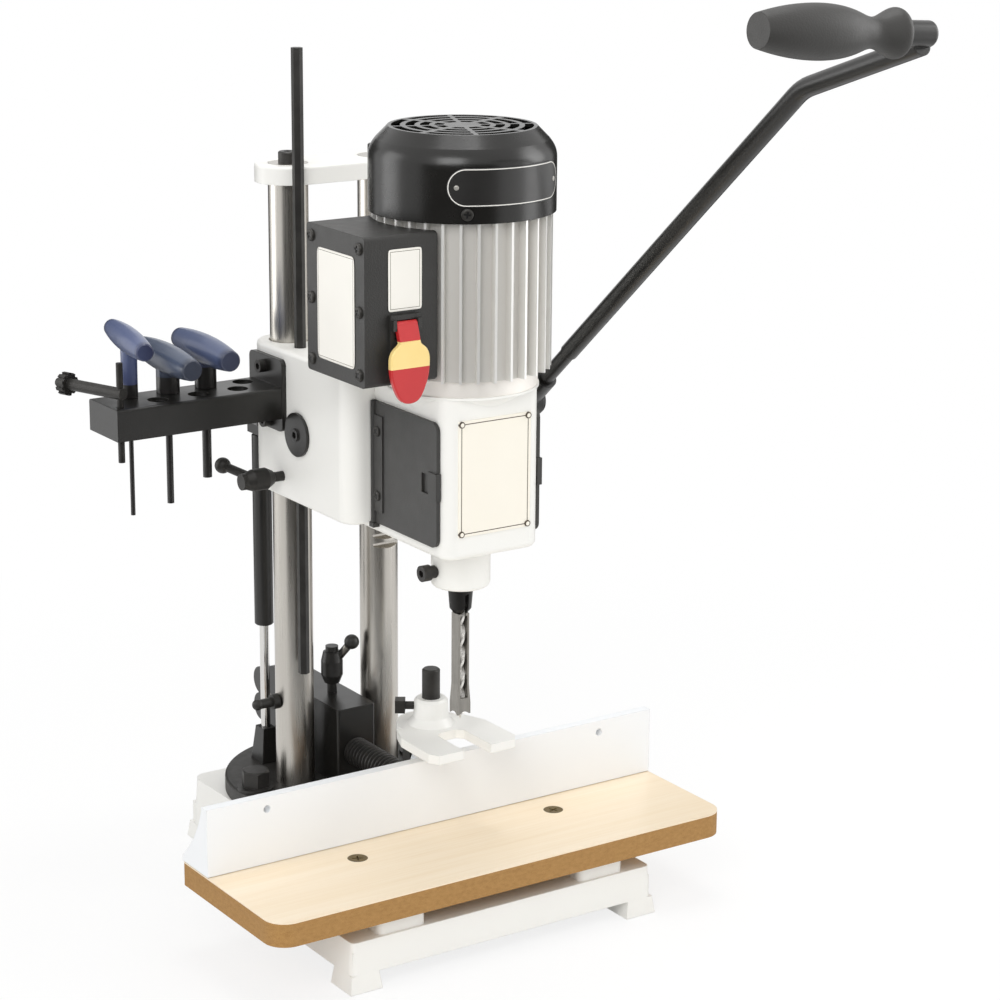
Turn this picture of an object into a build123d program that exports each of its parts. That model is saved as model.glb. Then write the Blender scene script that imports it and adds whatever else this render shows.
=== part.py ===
import os
from math import cos, pi, radians, sin, tan

from build123d import *

# Bench mortiser, millimetres, X to the operator's right, Y to the back, Z up.
# Origin: midway between the two front bench bolt holes, at bench level.

# Base casting
base_width = 280.0
base_depth = 342.0
front_depth = 156.0
rear_width = 196.0
rear_corner = 14.0
base_corner = 6.0
base_inner_corner = 4.0
base_wall = 9.0
base_draft = 4.0
foot_height = 14.0
foot_width = 24.0
foot_depth = 26.0
foot_flare = 8.0
foot_core_top = 32.0
front_top = 40.0
seat_top = 55.0
bolt_inset = 13.0
front_bolt_spacing = 256.0
rear_bolt_spacing = 170.0
bench_hole_r = 5.0
bench_hole_depth = 26.0

# Table
table_width = 416.0
table_depth = 146.0
table_overhang = 7.0
core_thick = 18.4
laminate_thick = 1.0
table_corner = 18.0
table_screw_x = 92.0
table_screw_back = 78.0
screw_head_r = 8.0
screw_shank_r = 2.4
pad_width = 42.0
pad_length = 118.0
pad_centre_x = 92.5

# Column base, columns and cap
flange_r = 95.0
flange_thick = 12.5
flange_bolt_circle_r = 79.0
flange_bolt_r = 7.0
flange_bolt_head_af = 21.0
flange_bolt_head_h = 14.0
washer_r = 15.5
washer_thick = 2.6
column_r = 16.0
column_half_gap = 41.0
column_back = 257.0
column_length = 530.6
cap_thick = 14.3
cap_wall = 10.5
cap_screw_r = 5.0
cap_screw_head_r = 7.6
cap_screw_head_h = 9.0
slide_clear = 0.05
pin_rise = 72.5
pin_r = 3.0
pin_ball_r = 4.6

# Rack on the right column and pinion in the head
rack_module = 2.5
pinion_teeth = 36
pinion_width = 20.0
gear_backlash = 0.9
fence_backlash = 0.95
rack_grooves_below = 15
rack_grooves_above = 9
lever_rise = 57.5
shaft_r = 12.5
shaft_end_r = 8.5
disc_r = 17.5
disc_thick = 2.5

# Head casting
head_bottom = 323.5
head_height = 120.5
head_wrap = 10.5
head_front_set = 134.0
head_corner = 14.0
bush_r = 20.0
bush_height = 24.0
bush_recess = 3.0
boss_r = 24.0
boss_length = 56.5
spindle_set = 54.7
box_half_width = 43.0
box_front_set = 45.4
box_drop = 7.5
box_corner = 11.0
flare_height = 17.0
lip_height = 2.0
lip_r = 58.5
lip_drop = 2.0
chamber_r = 31.0
nose_r = 22.9
nose_length = 34.7
clamp_screw_rise = 14.0
chisel_shank_r = 9.5

# Doors over the chuck
door_set_in = 7.3
door_rise = 10.0
door_height = 96.0
door_thick = 3.0
door_gap = 0.3
hinge_pin_r = 1.5
hinge_knuckle_r = 2.7
door_corner = 7.0

# Motor
bell_r = 57.5
bell_height = 12.5
fin_r = 67.5
core_r = 60.5
housing_bore_r = 57.0
housing_height = 118.5
fin_count = 32
fin_thick = 2.0
shell_r = 70.0
shell_wall = 2.5
shell_side = 39.0
shell_rise = 23.0
grille_r = 53.5
stator_bore_r = 35.5
rotor_r = 35.0
motor_shaft_r = 8.0
bearing_r = 17.5
bearing_height = 12.0
fan_r = 52.0
fan_blades = 8

# Switch box
switch_width = 64.0
switch_right = -48.0
switch_front_set = 45.3
switch_depth = 81.5
switch_rise = 3.5
switch_height = 110.0
switch_wall = 3.0
cover_thick = 2.5
pad_face = 70.0
paddle_half = 16.6
paddle_neck_half = 8.6
paddle_rise = 45.0
paddle_length = 57.5
paddle_thick = 4.0
paddle_stand = 6.4
paddle_shift = 0.4

# Chisel, auger and chuck
chisel_body = 9.9
chisel_edge = 11.7
chisel_reach = 104.5
chisel_edge_h = 9.0
chisel_flare_h = 15.0
chisel_collar_r = 10.0
chisel_collar_h = 22.7
chisel_slot_w = 6.6
auger_r = 3.75
auger_lead = 6.0
auger_pitch = 35.0
chuck_r = 19.5
chuck_rise = 20.0
chuck_height = 62.0

# Tool holder and keys
holder_reach = 142.5
holder_gap = 1.5
holder_depth = 49.0
holder_drop = 29.0
holder_height = 25.0
holder_sheet = 3.0
holder_plate_drop = 7.0
holder_plate_height = 58.0
hole_inset = 42.9
hole_step = 34.9
last_hole_inset = 127.4
hole_r = 8.2
key_inset = 28.0
key_step = 33.0
key_handle_r = 11.6
key_handle_half = 50.0
key_turn = 4.5
key_small_handle_r = 9.8
key_small_handle_half = 49.5
key_small_turn = 11.6
key_small_r = 1.8
key_small_length = 94.5
key_small_stem_r = 6.4
key_small_lift = 45.5
key_middle_r = 2.7
key_middle_length = 89.5
key_middle_stem_r = 9.2
key_middle_lift = 27.0
key_large_r = 3.6
key_large_length = 73.0
key_large_stem_r = 8.6
key_large_lift = 30.5

# Gas spring
gas_x = -39.0
gas_set_back = 27.5
gas_cylinder_r = 8.0
gas_cylinder_length = 166.0
gas_rise = 31.5
gas_rod_r = 4.0
gas_rod_length = 208.5

# Depth stop rod and its lock
depth_x = -50.0
depth_gap = 16.0
depth_af = 8.0
depth_length = 506.5
depth_rise = 235.0
depth_lock_rise = 18.0

# Lever
hub_r = 13.4
hub_gap = 2.0
hub_length = 36.0
hub_boss_r = 9.2
hub_boss_reach = 38.0
arm_set = 22.5
arm_r = 7.3
arm_stud_r = 6.2
arm_stud_reach = 80.0
arm_angle = 40.95
arm_length = 447.8
arm_bend_r = 48.0
tip_angle = 19.2
tip_length = 127.2
tip_boss_r = 8.9
tip_boss_raise = 7.4
tip_boss_inner = 20.1
tip_boss_outer = 7.7
grip_lean = 3.8
grip_r = 18.4
grip_neck_r = 10.4
grip_collar_r = 16.9
grip_end_r = 11.8
grip_length = 119.0
grip_gap = 0.5
grip_cap = 6.0
grip_pin_r = 6.0

# Fence, rack rod and block
fence_set_in = 41.0
fence_height = 54.7
fence_lift = 0.5
fence_thick = 8.5
fence_foot_depth = 41.0
fence_foot_h = 4.5
fence_hole_x = 156.0
fence_hole_drop = 10.0
fence_hole_r = 3.0
post_set = 12.5
post_r = 7.15
post_height = 71.1
fence_rack_r = 12.0
fence_rack_rise = 18.9
fence_rack_module = 1.5
fence_pinion_teeth = 16
fence_pinion_set = 17.0
fence_grooves_front = 37
fence_grooves_rear = 6
fence_boss_r = 15.5
block_half = 18.0
block_front_set = 31.0
block_length = 114.0
block_height = 65.5
knob_lobe_r = 12.0
knob_lobe_at = 20.0
knob_thick = 8.5
fence_lock_x = 2.0
fence_lock_set = 43.0

# Hold-down
fork_rise = 25.9
fork_thick = 7.5
fork_half = 40.0
fork_slot_half = 12.5
fork_reach = 67.5
fork_slot_set = 24.5
holddown_boss_r = 14.0
holddown_boss_h = 21.0
holddown_screw_turn = 34.0

# Derived planes and axes
base_front = -bolt_inset
base_rear = base_front + base_depth
table_front = base_front - table_overhang
table_rear = table_front + table_depth
pad_height = seat_top - front_top
core_top = seat_top + core_thick
table_top = core_top + laminate_thick
column_y = base_front + column_back
flange_top = seat_top + flange_thick
column_top = seat_top + column_length
cap_bottom = column_top - cap_thick
head_top = head_bottom + head_height
head_half_width = column_half_gap + column_r + head_wrap
head_front = column_y - head_front_set
head_rear = column_y + column_r + head_wrap
lever_y = column_y - column_r + rack_module - rack_module * pinion_teeth / 2
lever_axis_z = head_bottom + lever_rise
boss_end = head_half_width + boss_length
hub_start = boss_end + hub_gap
arm_x = hub_start + arm_set
spindle_y = head_front - spindle_set
box_front = spindle_y - box_front_set
box_bottom = head_bottom - box_drop
lip_top = head_top - lip_drop
flare_end = lip_top - lip_height
flare_start = flare_end - flare_height
nose_bottom = box_bottom - nose_length
door_bottom = box_bottom + door_rise
door_top = door_bottom + door_height
chuck_bottom = box_bottom + chuck_rise
chuck_top = chuck_bottom + chuck_height
chisel_tip = nose_bottom - chisel_reach
auger_tip = chisel_tip - auger_lead
bell_top = lip_top + bell_height
housing_top = bell_top + housing_height
shell_shoulder = housing_top + shell_side
shell_top = shell_shoulder + shell_rise
switch_left = switch_right - switch_width
switch_front = spindle_y - switch_front_set
switch_rear = switch_front + switch_depth
switch_bottom = bell_top + switch_rise
switch_top = switch_bottom + switch_height
paddle_x = (switch_left + switch_right) / 2
paddle_pivot_z = switch_bottom + paddle_rise
paddle_bottom = paddle_pivot_z - paddle_length
plate_face = -head_half_width - holder_sheet - 1.0
holder_end = plate_face - holder_reach
holder_front = lever_y + disc_r + holder_gap
holder_rear = holder_front + holder_depth
holder_top = head_top - holder_drop
holder_plate_z1 = head_top - holder_plate_drop
holder_plate_z0 = holder_plate_z1 - holder_plate_height
gas_y = head_rear + gas_set_back
gas_cylinder_top = head_bottom + gas_rise
gas_cylinder_bottom = gas_cylinder_top - gas_cylinder_length
depth_y = column_y - column_r - depth_gap
depth_top = head_top + depth_rise
depth_bottom = depth_top - depth_length
depth_lock_z = head_bottom + depth_lock_rise
fence_face = table_rear - fence_set_in
fence_bottom = table_top + fence_lift
fence_top = fence_bottom + fence_height
post_y = fence_face + post_set
post_top = fence_top + post_height
fork_top = fence_top + fork_rise
holddown_boss_top = fork_top + holddown_boss_h
block_front = column_y - block_front_set
block_rear = block_front + block_length
block_top = flange_top + block_height
fence_rack_z = fence_bottom + fence_rack_rise
fence_pinion_y = block_rear - fence_pinion_set
fence_pinion_r = fence_rack_module * fence_pinion_teeth / 2
fence_pinion_z = fence_rack_z + fence_rack_r - fence_rack_module + fence_pinion_r

parts = {}


def block(x0, x1, y0, y1, z0, z1):
    solid = Box(x1 - x0, y1 - y0, z1 - z0)
    return Pos((x0 + x1) / 2, (y0 + y1) / 2, (z0 + z1) / 2) * solid


def rod_x(r, y, z, x0, x1):
    return Pos((x0 + x1) / 2, y, z) * Rot(0, 90, 0) * Cylinder(r, x1 - x0)


def rod_y(r, x, z, y0, y1):
    return Pos(x, (y0 + y1) / 2, z) * Rot(90, 0, 0) * Cylinder(r, y1 - y0)


def rod_z(r, x, y, z0, z1):
    return Pos(x, y, (z0 + z1) / 2) * Cylinder(r, z1 - z0)


def bar(start, end, radius):
    run = Vector(*end) - Vector(*start)
    seat = Plane(origin=start, z_dir=run)
    low = (Align.CENTER, Align.CENTER, Align.MIN)
    return seat * Cylinder(radius, run.length, align=low)


def turned(*points):
    outline = Plane.XZ * Polyline(*points, close=True)
    return revolve(make_face(outline), Axis.Z)


def hex_z(af, x, y, z0, z1, turn=0.0):
    outline = RegularPolygon(af / 2, 6, major_radius=False, rotation=turn)
    return extrude(Pos(x, y, z0) * outline, z1 - z0)


def group(*shapes):
    return Compound([solid for shape in shapes for solid in shape.solids()])


def mirrored(shape):
    return mirror(shape, about=Plane.YZ)


# Base: open-bottomed casting with a low front deck and a raised seat for the column base
front_mid = base_front + front_depth / 2
rear_start = base_front + front_depth - 26
rear_depth = base_rear - rear_start
rear_mid = (rear_start + base_rear) / 2
front_plan = Pos(0, front_mid) * RectangleRounded(base_width, front_depth, base_corner)
rear_plan = Pos(0, rear_mid) * RectangleRounded(rear_width, rear_depth, rear_corner)
front_shell = extrude(Pos(0, 0, foot_height) * front_plan, front_top - foot_height, taper=base_draft)
rear_shell = extrude(Pos(0, 0, foot_height) * rear_plan, seat_top - foot_height, taper=base_draft)
front_inner = RectangleRounded(base_width - 2 * base_wall, front_depth - 2 * base_wall, base_inner_corner)
rear_inner = RectangleRounded(rear_width - 2 * base_wall, rear_depth - 2 * base_wall, base_inner_corner)
front_room = extrude(Pos(0, front_mid, 0) * front_inner, front_top - base_wall)
rear_room = extrude(Pos(0, rear_mid, 0) * rear_inner, seat_top - base_wall - 2)
base = front_shell + rear_shell - front_room - rear_room
rear_bolt_y = base_rear - bolt_inset
foot_spots = []
for side in (-1, 1):
    foot_spots += [(side * front_bolt_spacing / 2, 0), (side * rear_bolt_spacing / 2, rear_bolt_y)]
for foot_x, foot_y in foot_spots:
    sole = Plane(origin=(foot_x, foot_y, foot_height), z_dir=(0, 0, -1)) * Rectangle(foot_width, foot_depth)
    base += extrude(sole, foot_height, taper=-foot_flare)
    core = Pos(foot_x, foot_y, foot_height - 1) * Rectangle(foot_width - 4, foot_depth - 4)
    base += extrude(core, foot_core_top - foot_height + 1)
pad = Pos(0, base_front + pad_length / 2 + 4, front_top - 1) * RectangleRounded(pad_width, pad_length, 5)
pad_solid = extrude(pad, pad_height + 1)
base += Pos(pad_centre_x, 0, 0) * pad_solid
base += Pos(-pad_centre_x, 0, 0) * pad_solid
bolt_angles = (180.0, 0.0, 42.0)
bolt_spots = []
for angle in bolt_angles:
    spot_x = flange_bolt_circle_r * cos(radians(angle))
    spot_y = column_y + flange_bolt_circle_r * sin(radians(angle))
    bolt_spots.append((spot_x, spot_y))
for spot_x, spot_y in bolt_spots:
    base += rod_z(flange_bolt_r + 9, spot_x, spot_y, seat_top - 34, seat_top - 1)
screw_y = table_front + table_screw_back
for side in (-1, 1):
    base += rod_z(9, side * table_screw_x, screw_y, front_top - 20, front_top)
for spot_x, spot_y in bolt_spots:
    base -= rod_z(flange_bolt_r + 0.1, spot_x, spot_y, seat_top - 30, seat_top + 1)
for side in (-1, 1):
    base -= rod_z(screw_shank_r + 0.1, side * table_screw_x, screw_y, front_top - 16, seat_top + 1)
for foot_x, foot_y in foot_spots:
    base -= rod_z(bench_hole_r, foot_x, foot_y, -1, bench_hole_depth)
parts["base"] = base


# Table board with rounded front corners and two flat-head screws
def table_layer(z0, z1):
    layer = block(-table_width / 2, table_width / 2, table_front, table_rear, z0, z1)
    upright = layer.edges().filter_by(Axis.Z).sort_by(Axis.Y)
    layer = fillet(upright[:2], table_corner)
    upright = layer.edges().filter_by(Axis.Z).sort_by(Axis.Y)
    return fillet(upright[-2:], 3)


head_drop = screw_head_r - screw_shank_r
head_face = table_top - 0.2
table_screw = turned(
    (0, front_top - 14), (screw_shank_r, front_top - 14), (screw_shank_r, head_face - head_drop),
    (screw_head_r, head_face), (0, head_face))
sink_r = screw_shank_r + 0.1
sink = turned(
    (0, front_top - 20), (sink_r, front_top - 20), (sink_r, head_face - head_drop + 0.1),
    (screw_head_r, head_face), (screw_head_r, table_top + 1), (0, table_top + 1))
sinks = Pos(table_screw_x, screw_y) * sink + Pos(-table_screw_x, screw_y) * sink
cross = block(-screw_head_r * 0.56, screw_head_r * 0.56, -0.6, 0.6, head_face - 1.6, table_top)
table_screw = table_screw - cross - Rot(0, 0, 90) * cross
parts["table_core"] = table_layer(seat_top, core_top) - sinks
parts["table_laminate"] = table_layer(core_top, table_top) - sinks
parts["table_screws"] = group(
    Pos(table_screw_x, screw_y) * Rot(0, 0, 20) * table_screw,
    Pos(-table_screw_x, screw_y) * Rot(0, 0, 65) * table_screw)

# Column base flange with its bolts
flange = rod_z(flange_r, 0, column_y, seat_top, flange_top)
flange = fillet(flange.edges().filter_by(GeomType.CIRCLE).sort_by(Axis.Z)[-1:], 2)
for side in (-1, 1):
    flange -= rod_z(column_r + slide_clear, side * column_half_gap, column_y, seat_top - 1, flange_top + 1)
bolt_list = []
washer_list = []
head_low = flange_top + washer_thick
head_high = head_low + flange_bolt_head_h
for spot_x, spot_y in bolt_spots:
    flange -= rod_z(flange_bolt_r + 0.6, spot_x, spot_y, seat_top - 1, flange_top + 1)
    crown = turned(
        (0, head_low), (flange_bolt_head_af * 0.62, head_low), (flange_bolt_head_af * 0.62, head_high - 2),
        (flange_bolt_head_af * 0.47, head_high), (0, head_high))
    head = hex_z(flange_bolt_head_af, spot_x, spot_y, head_low, head_high, 10) & Pos(spot_x, spot_y) * crown
    bolt_list.append(head + rod_z(flange_bolt_r, spot_x, spot_y, seat_top - 28, head_low))
    ring = rod_z(washer_r, spot_x, spot_y, flange_top, head_low)
    washer_list.append(ring - rod_z(flange_bolt_r + 0.4, spot_x, spot_y, flange_top - 1, head_low + 1))
parts["column_flange"] = flange
parts["flange_bolts"] = group(*bolt_list, *washer_list)

# Columns: the left one is plain, the right one has rack teeth milled across its front
pin_z = flange_top + pin_rise
screw_depth = 26.0
socket = rod_z(cap_screw_r + 0.05, 0, 0, column_top - screw_depth - 2, column_top + 1)
plain = turned(
    (0, seat_top), (column_r, seat_top), (column_r, column_top - 0.8),
    (column_r - 0.8, column_top), (0, column_top)) - socket
hole_start = -column_half_gap - column_r - 1
pin_hole = rod_x(pin_r + slide_clear, column_y, pin_z, hole_start, -column_half_gap + 2)
parts["column_left"] = Pos(-column_half_gap, column_y) * plain - pin_hole
pitch = pi * rack_module
slope = tan(radians(20))
groove_depth = 2.2 * rack_module
half_mouth = pitch / 4 + rack_module * slope
half_floor = pitch / 4 - (groove_depth - rack_module) * slope
rack_face = column_y - column_r
cutter_lead = 1.0
half_lead = half_mouth + cutter_lead * slope
comb = []
for step in range(-rack_grooves_below, rack_grooves_above + 1):
    mid = lever_axis_z + step * pitch
    comb += [(rack_face - cutter_lead, mid - half_lead), (rack_face + groove_depth, mid - half_floor),
             (rack_face + groove_depth, mid + half_floor), (rack_face - cutter_lead, mid + half_lead)]
comb += [(rack_face - 3 * cutter_lead, comb[-1][1]), (rack_face - 3 * cutter_lead, comb[0][1])]
comb_plane = Plane(origin=(column_half_gap - column_r - 1, 0, 0), x_dir=(0, 1, 0), z_dir=(1, 0, 0))
comb_face = make_face(comb_plane * Polyline(*comb, close=True))
teeth_cut = extrude(comb_face, 2 * column_r + 2, dir=(1, 0, 0))
parts["column_right"] = Pos(column_half_gap, column_y) * plain - teeth_cut

# Cap plate across the column tops
cap_plan = SlotCenterToCenter(2 * column_half_gap, 2 * (column_r + cap_wall))
cap = extrude(Pos(0, column_y, cap_bottom) * cap_plan, cap_thick)
cap = fillet(cap.edges().group_by(Axis.Z)[-1], 2)
cap_screws = []
for side in (-1, 1):
    cap -= rod_z(column_r, side * column_half_gap, column_y, cap_bottom - 1, column_top + 1)
    screw = turned(
        (0, column_top - screw_depth), (cap_screw_r, column_top - screw_depth), (cap_screw_r, column_top),
        (cap_screw_head_r, column_top), (cap_screw_head_r, column_top + cap_screw_head_h - 0.8),
        (cap_screw_head_r - 0.8, column_top + cap_screw_head_h), (0, column_top + cap_screw_head_h))
    screw -= hex_z(6, 0, 0, column_top + 3, column_top + cap_screw_head_h + 1)
    cap_screws.append(Pos(side * column_half_gap, column_y) * screw)
parts["column_cap"] = cap
parts["cap_screws"] = group(*cap_screws)

# Pull pin standing out of the left column
pin_face = -column_half_gap - column_r
ball_at = 19.0
neck_r = pin_r + 1
neck_end = ball_at - (pin_ball_r ** 2 - neck_r ** 2) ** 0.5
pin_line = Polyline(
    (0, ball_at + pin_ball_r), (0, -13), (pin_r, -13), (pin_r, 0.3), (2.1 * pin_r, 0.3), (2.1 * pin_r, 6),
    (neck_r, 6), (neck_r, neck_end))
pin_line += ThreePointArc((neck_r, neck_end), (pin_ball_r, ball_at), (0, ball_at + pin_ball_r))
pin = revolve(make_face(Plane.XZ * pin_line), Axis.Z)
parts["column_pin"] = Pos(pin_face, column_y, pin_z) * Rot(0, -90, 0) * pin

# Gas spring: rod and wedge foot stay with the base, the cylinder goes with the head
wedge = extrude(Pos(gas_x, gas_y, flange_top) * Rectangle(18, 20), 30, taper=6)
rod_low = flange_top + 8
parts["gas_foot"] = wedge - rod_z(gas_rod_r, gas_x, gas_y, rod_low, flange_top + 31)
gas_rod_top = rod_low + gas_rod_length
rod = rod_z(gas_rod_r, gas_x, gas_y, rod_low, gas_rod_top)
parts["gas_rod"] = rod + rod_z(gas_cylinder_r - 1.5, gas_x, gas_y, gas_rod_top - 12, gas_rod_top)
stud_top = gas_cylinder_top + 20
tube = turned(
    (gas_rod_r + slide_clear, gas_cylinder_bottom), (gas_cylinder_r - 1, gas_cylinder_bottom),
    (gas_cylinder_r, gas_cylinder_bottom + 1), (gas_cylinder_r, gas_cylinder_top - 2),
    (gas_cylinder_r - 2, gas_cylinder_top), (3.5, gas_cylinder_top), (3.5, stud_top), (0, stud_top),
    (0, gas_cylinder_top - 8), (gas_cylinder_r - 1.4, gas_cylinder_top - 8),
    (gas_cylinder_r - 1.4, gas_cylinder_bottom + 9), (gas_rod_r + slide_clear, gas_cylinder_bottom + 9))
parts["gas_cylinder"] = Pos(gas_x, gas_y) * tube
bracket = block(gas_x - 2, gas_x + 24, head_rear, head_rear + 5,
                gas_cylinder_top - 22, gas_cylinder_top + 22)
bracket += block(gas_x - 8, gas_x + 8, head_rear, gas_y + 9, gas_cylinder_top, gas_cylinder_top + 8)
bracket += block(gas_x + 8, gas_x + 16, head_rear, head_rear + 14, gas_cylinder_top, gas_cylinder_top + 8)
parts["gas_bracket"] = bracket - rod_z(3.5, gas_x, gas_y, gas_cylinder_top - 1, gas_cylinder_top + 9)

# Fence guide block between the columns
guide = block(-block_half, block_half, block_front, block_rear, flange_top, block_top)
guide = fillet(guide.edges().filter_by(Axis.Z), 2)
guide -= rod_y(fence_rack_r + slide_clear, 0, fence_rack_z, block_front - 1, block_rear + 1)
pinion_half = 6.0
gear_tip = fence_pinion_r + fence_rack_module
guide -= rod_x(gear_tip + 0.7, fence_pinion_y, fence_pinion_z, -pinion_half - 1, pinion_half + 1)
guide -= rod_x(5 + slide_clear, fence_pinion_y, fence_pinion_z, -block_half - 1, block_half - 4)
lock_y = block_front + fence_lock_set
lock_low = fence_rack_z + fence_rack_r + 0.6
guide -= rod_z(4 + slide_clear, fence_lock_x, lock_y, fence_rack_z, block_top + 1)
parts["fence_block"] = guide

# Fence lock lever: a stud with a waisted barrel and a short arm
barrel = turned(
    (0, 0), (4, 0), (4, block_top - lock_low + 9), (6.5, block_top - lock_low + 9),
    (9.2, block_top - lock_low + 16), (9.2, block_top - lock_low + 28), (7.4, block_top - lock_low + 36),
    (5.4, block_top - lock_low + 36.5), (5.4, block_top - lock_low + 41), (0, block_top - lock_low + 41))
lock = Pos(fence_lock_x, lock_y, lock_low) * barrel
arm_from = (fence_lock_x, lock_y, block_top + 24)
arm_to = (fence_lock_x + 12.3, lock_y - 12, block_top + 45.5)
lock += bar(arm_from, arm_to, 3.4)
lock += Pos(*arm_to) * Sphere(6.3)
parts["fence_lock"] = lock


# Straight-flanked gear, its first tooth pointing along +X of the sketch plane
def gear(module, teeth, width, backlash):
    radius = module * teeth / 2
    step = pi * module
    half = (step / 2 - backlash) / 2
    tip = radius + module * 0.95
    root = radius - module * 1.15
    half_tip = half - module * 0.95 * slope
    half_root = half + module * 1.15 * slope
    outline = []
    for index in range(teeth):
        turn = 2 * pi * index / teeth
        for reach, side in ((root, -half_root), (tip, -half_tip), (tip, half_tip), (root, half_root)):
            outline.append((reach * cos(turn) - side * sin(turn), reach * sin(turn) + side * cos(turn)))
    return extrude(make_face(Polyline(*outline, close=True)), width)


# Fence pinion and star knob; the gear's first tooth hangs down into the rack rod
small_gear = gear(fence_rack_module, fence_pinion_teeth, 2 * pinion_half, fence_backlash)
small_gear = Pos(-pinion_half, fence_pinion_y, fence_pinion_z) * Rot(0, 90, 0) * small_gear
knob_inner = -block_half - 1.5
knob_outer = knob_inner - knob_thick
pinion = small_gear + rod_x(5, fence_pinion_y, fence_pinion_z, knob_outer, -pinion_half)
pinion += rod_x(5, fence_pinion_y, fence_pinion_z, pinion_half, block_half - 4.5)
parts["fence_pinion"] = pinion
star = Circle(knob_lobe_at)
for index in range(5):
    star += Rot(0, 0, 72 * index + 54) * Pos(knob_lobe_at, 0) * Circle(knob_lobe_r)
knob = extrude(star, knob_thick) - Cylinder(5.02, 60)
knob = Pos(knob_outer, fence_pinion_y, fence_pinion_z) * Rot(0, 90, 0) * knob
parts["fence_knob"] = knob

# Rack rod with ring teeth, screwed into the back of the fence
fence_pitch = pi * fence_rack_module
fence_depth = 2.2 * fence_rack_module
f_mouth = fence_pitch / 4 + fence_rack_module * slope
f_floor = fence_pitch / 4 - (fence_depth - fence_rack_module) * slope
rod_start = fence_face + 22
first_groove = fence_pinion_y - fence_grooves_front * fence_pitch
last_groove = fence_pinion_y + fence_grooves_rear * fence_pitch
rod_end = last_groove + fence_pitch
rings = [(0, rod_start), (fence_rack_r, rod_start)]
for index in range(fence_grooves_front + fence_grooves_rear + 1):
    mid = first_groove + index * fence_pitch
    rings += [(fence_rack_r, mid - f_mouth), (fence_rack_r - fence_depth, mid - f_floor),
              (fence_rack_r - fence_depth, mid + f_floor), (fence_rack_r, mid + f_mouth)]
rings += [(fence_rack_r, rod_end), (0, rod_end)]
parts["fence_rack"] = Pos(0, 0, fence_rack_z) * Rot(-90, 0, 0) * turned(*rings)

# Fence: upright face with a concave back running out to a foot
fence_half = table_width / 2
back_line = fence_face + fence_thick
foot_line = fence_face + fence_foot_depth
curve_low = (foot_line, fence_bottom + fence_foot_h)
curve_high = (back_line, fence_top - 3)
curve_mid = (back_line + (foot_line - back_line) * 0.4, fence_bottom + fence_height * 0.47)
profile = Polyline(curve_low, (foot_line, fence_bottom), (fence_face, fence_bottom),
                   (fence_face, fence_top), (back_line, fence_top), curve_high)
profile += ThreePointArc(curve_high, curve_mid, curve_low)
fence_plane = Plane(origin=(-fence_half, 0, 0), x_dir=(0, 1, 0), z_dir=(1, 0, 0))
fence = extrude(make_face(fence_plane * profile), 2 * fence_half, dir=(1, 0, 0))
post_boss = rod_z(post_r + 8, 0, post_y, fence_bottom, fence_top)
in_front = block(-40, 40, fence_face - 40, fence_face, fence_bottom - 1, fence_top + 1)
fence += post_boss - in_front
fence += rod_y(fence_boss_r, 0, fence_rack_z, fence_face + 4, foot_line + 4)
fence -= rod_y(fence_rack_r, 0, fence_rack_z, rod_start, foot_line + 10)
post_floor = fence_rack_z + fence_rack_r - 4
fence -= rod_z(post_r, 0, post_y, post_floor, fence_top + 1)
screw_z = fence_top - 11
fence += rod_y(8, 0, screw_z, post_y, post_y + post_r + 11)
fence -= rod_y(4.5, 0, screw_z, post_y, post_y + post_r + 20)
fence -= rod_z(post_r, 0, post_y, post_floor, fence_top + 1)
for side in (-1, 1):
    hole_z = fence_top - fence_hole_drop
    fence -= rod_y(fence_hole_r, side * fence_hole_x, hole_z, fence_face - 1, foot_line)
parts["fence"] = fence
post = turned(
    (0, post_floor), (post_r, post_floor), (post_r, post_top - 1.2), (post_r - 1.2, post_top), (0, post_top))
parts["holddown_post"] = Pos(0, post_y) * post
set_screw = rod_y(4.5, 0, screw_z, post_y + post_r, post_y + post_r + 15)
set_screw += block(-6, 6, post_y + post_r + 15, post_y + post_r + 26, screw_z - 6, screw_z + 6)
parts["post_screw"] = set_screw

# Hold-down fork on the post
fork_front = post_y - fork_reach
slot_end = post_y - fork_slot_set
fork_low = fork_top - fork_thick
nose_in = fork_half - 5
plan = Polyline(
    (-fork_slot_half, fork_front), (-nose_in, fork_front), (-fork_half, fork_front + 8),
    (-fork_half + 1, post_y - 18), (-fork_half + 8, post_y), (fork_half - 8, post_y),
    (fork_half - 1, post_y - 18),
    (fork_half, fork_front + 8), (nose_in, fork_front), (fork_slot_half, fork_front),
    (fork_slot_half, slot_end - 5), (fork_slot_half - 5, slot_end), (-fork_slot_half + 5, slot_end),
    (-fork_slot_half, slot_end - 5), close=True)
tail = Pos(0, post_y) * Ellipse(27, 29)
in_slot = Pos(0, (fork_front + slot_end) / 2) * Rectangle(2 * fork_slot_half, slot_end - fork_front)
holddown = extrude(Pos(0, 0, fork_low) * (make_face(plan) + (tail - in_slot)), fork_thick)
dome = turned(
    (0, fork_low), (holddown_boss_r + 6, fork_low), (holddown_boss_r + 5, fork_top),
    (holddown_boss_r, fork_top + 6), (holddown_boss_r - 0.6, holddown_boss_top - 2),
    (holddown_boss_r - 2.6, holddown_boss_top),
    (0, holddown_boss_top))
slot_cut = block(-fork_slot_half, fork_slot_half, fork_front - 1, slot_end, fork_low - 1, fork_top + 20)
holddown += Pos(0, post_y) * dome - slot_cut
clamp_z = holddown_boss_top - 7
thread_r = 3.2
thread_start = -holddown_boss_r - 6.5
screw_seat = Pos(0, post_y) * Rot(0, 0, -holddown_screw_turn)
holddown -= rod_z(post_r + slide_clear, 0, post_y, fork_low - 1, holddown_boss_top + 1)
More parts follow.
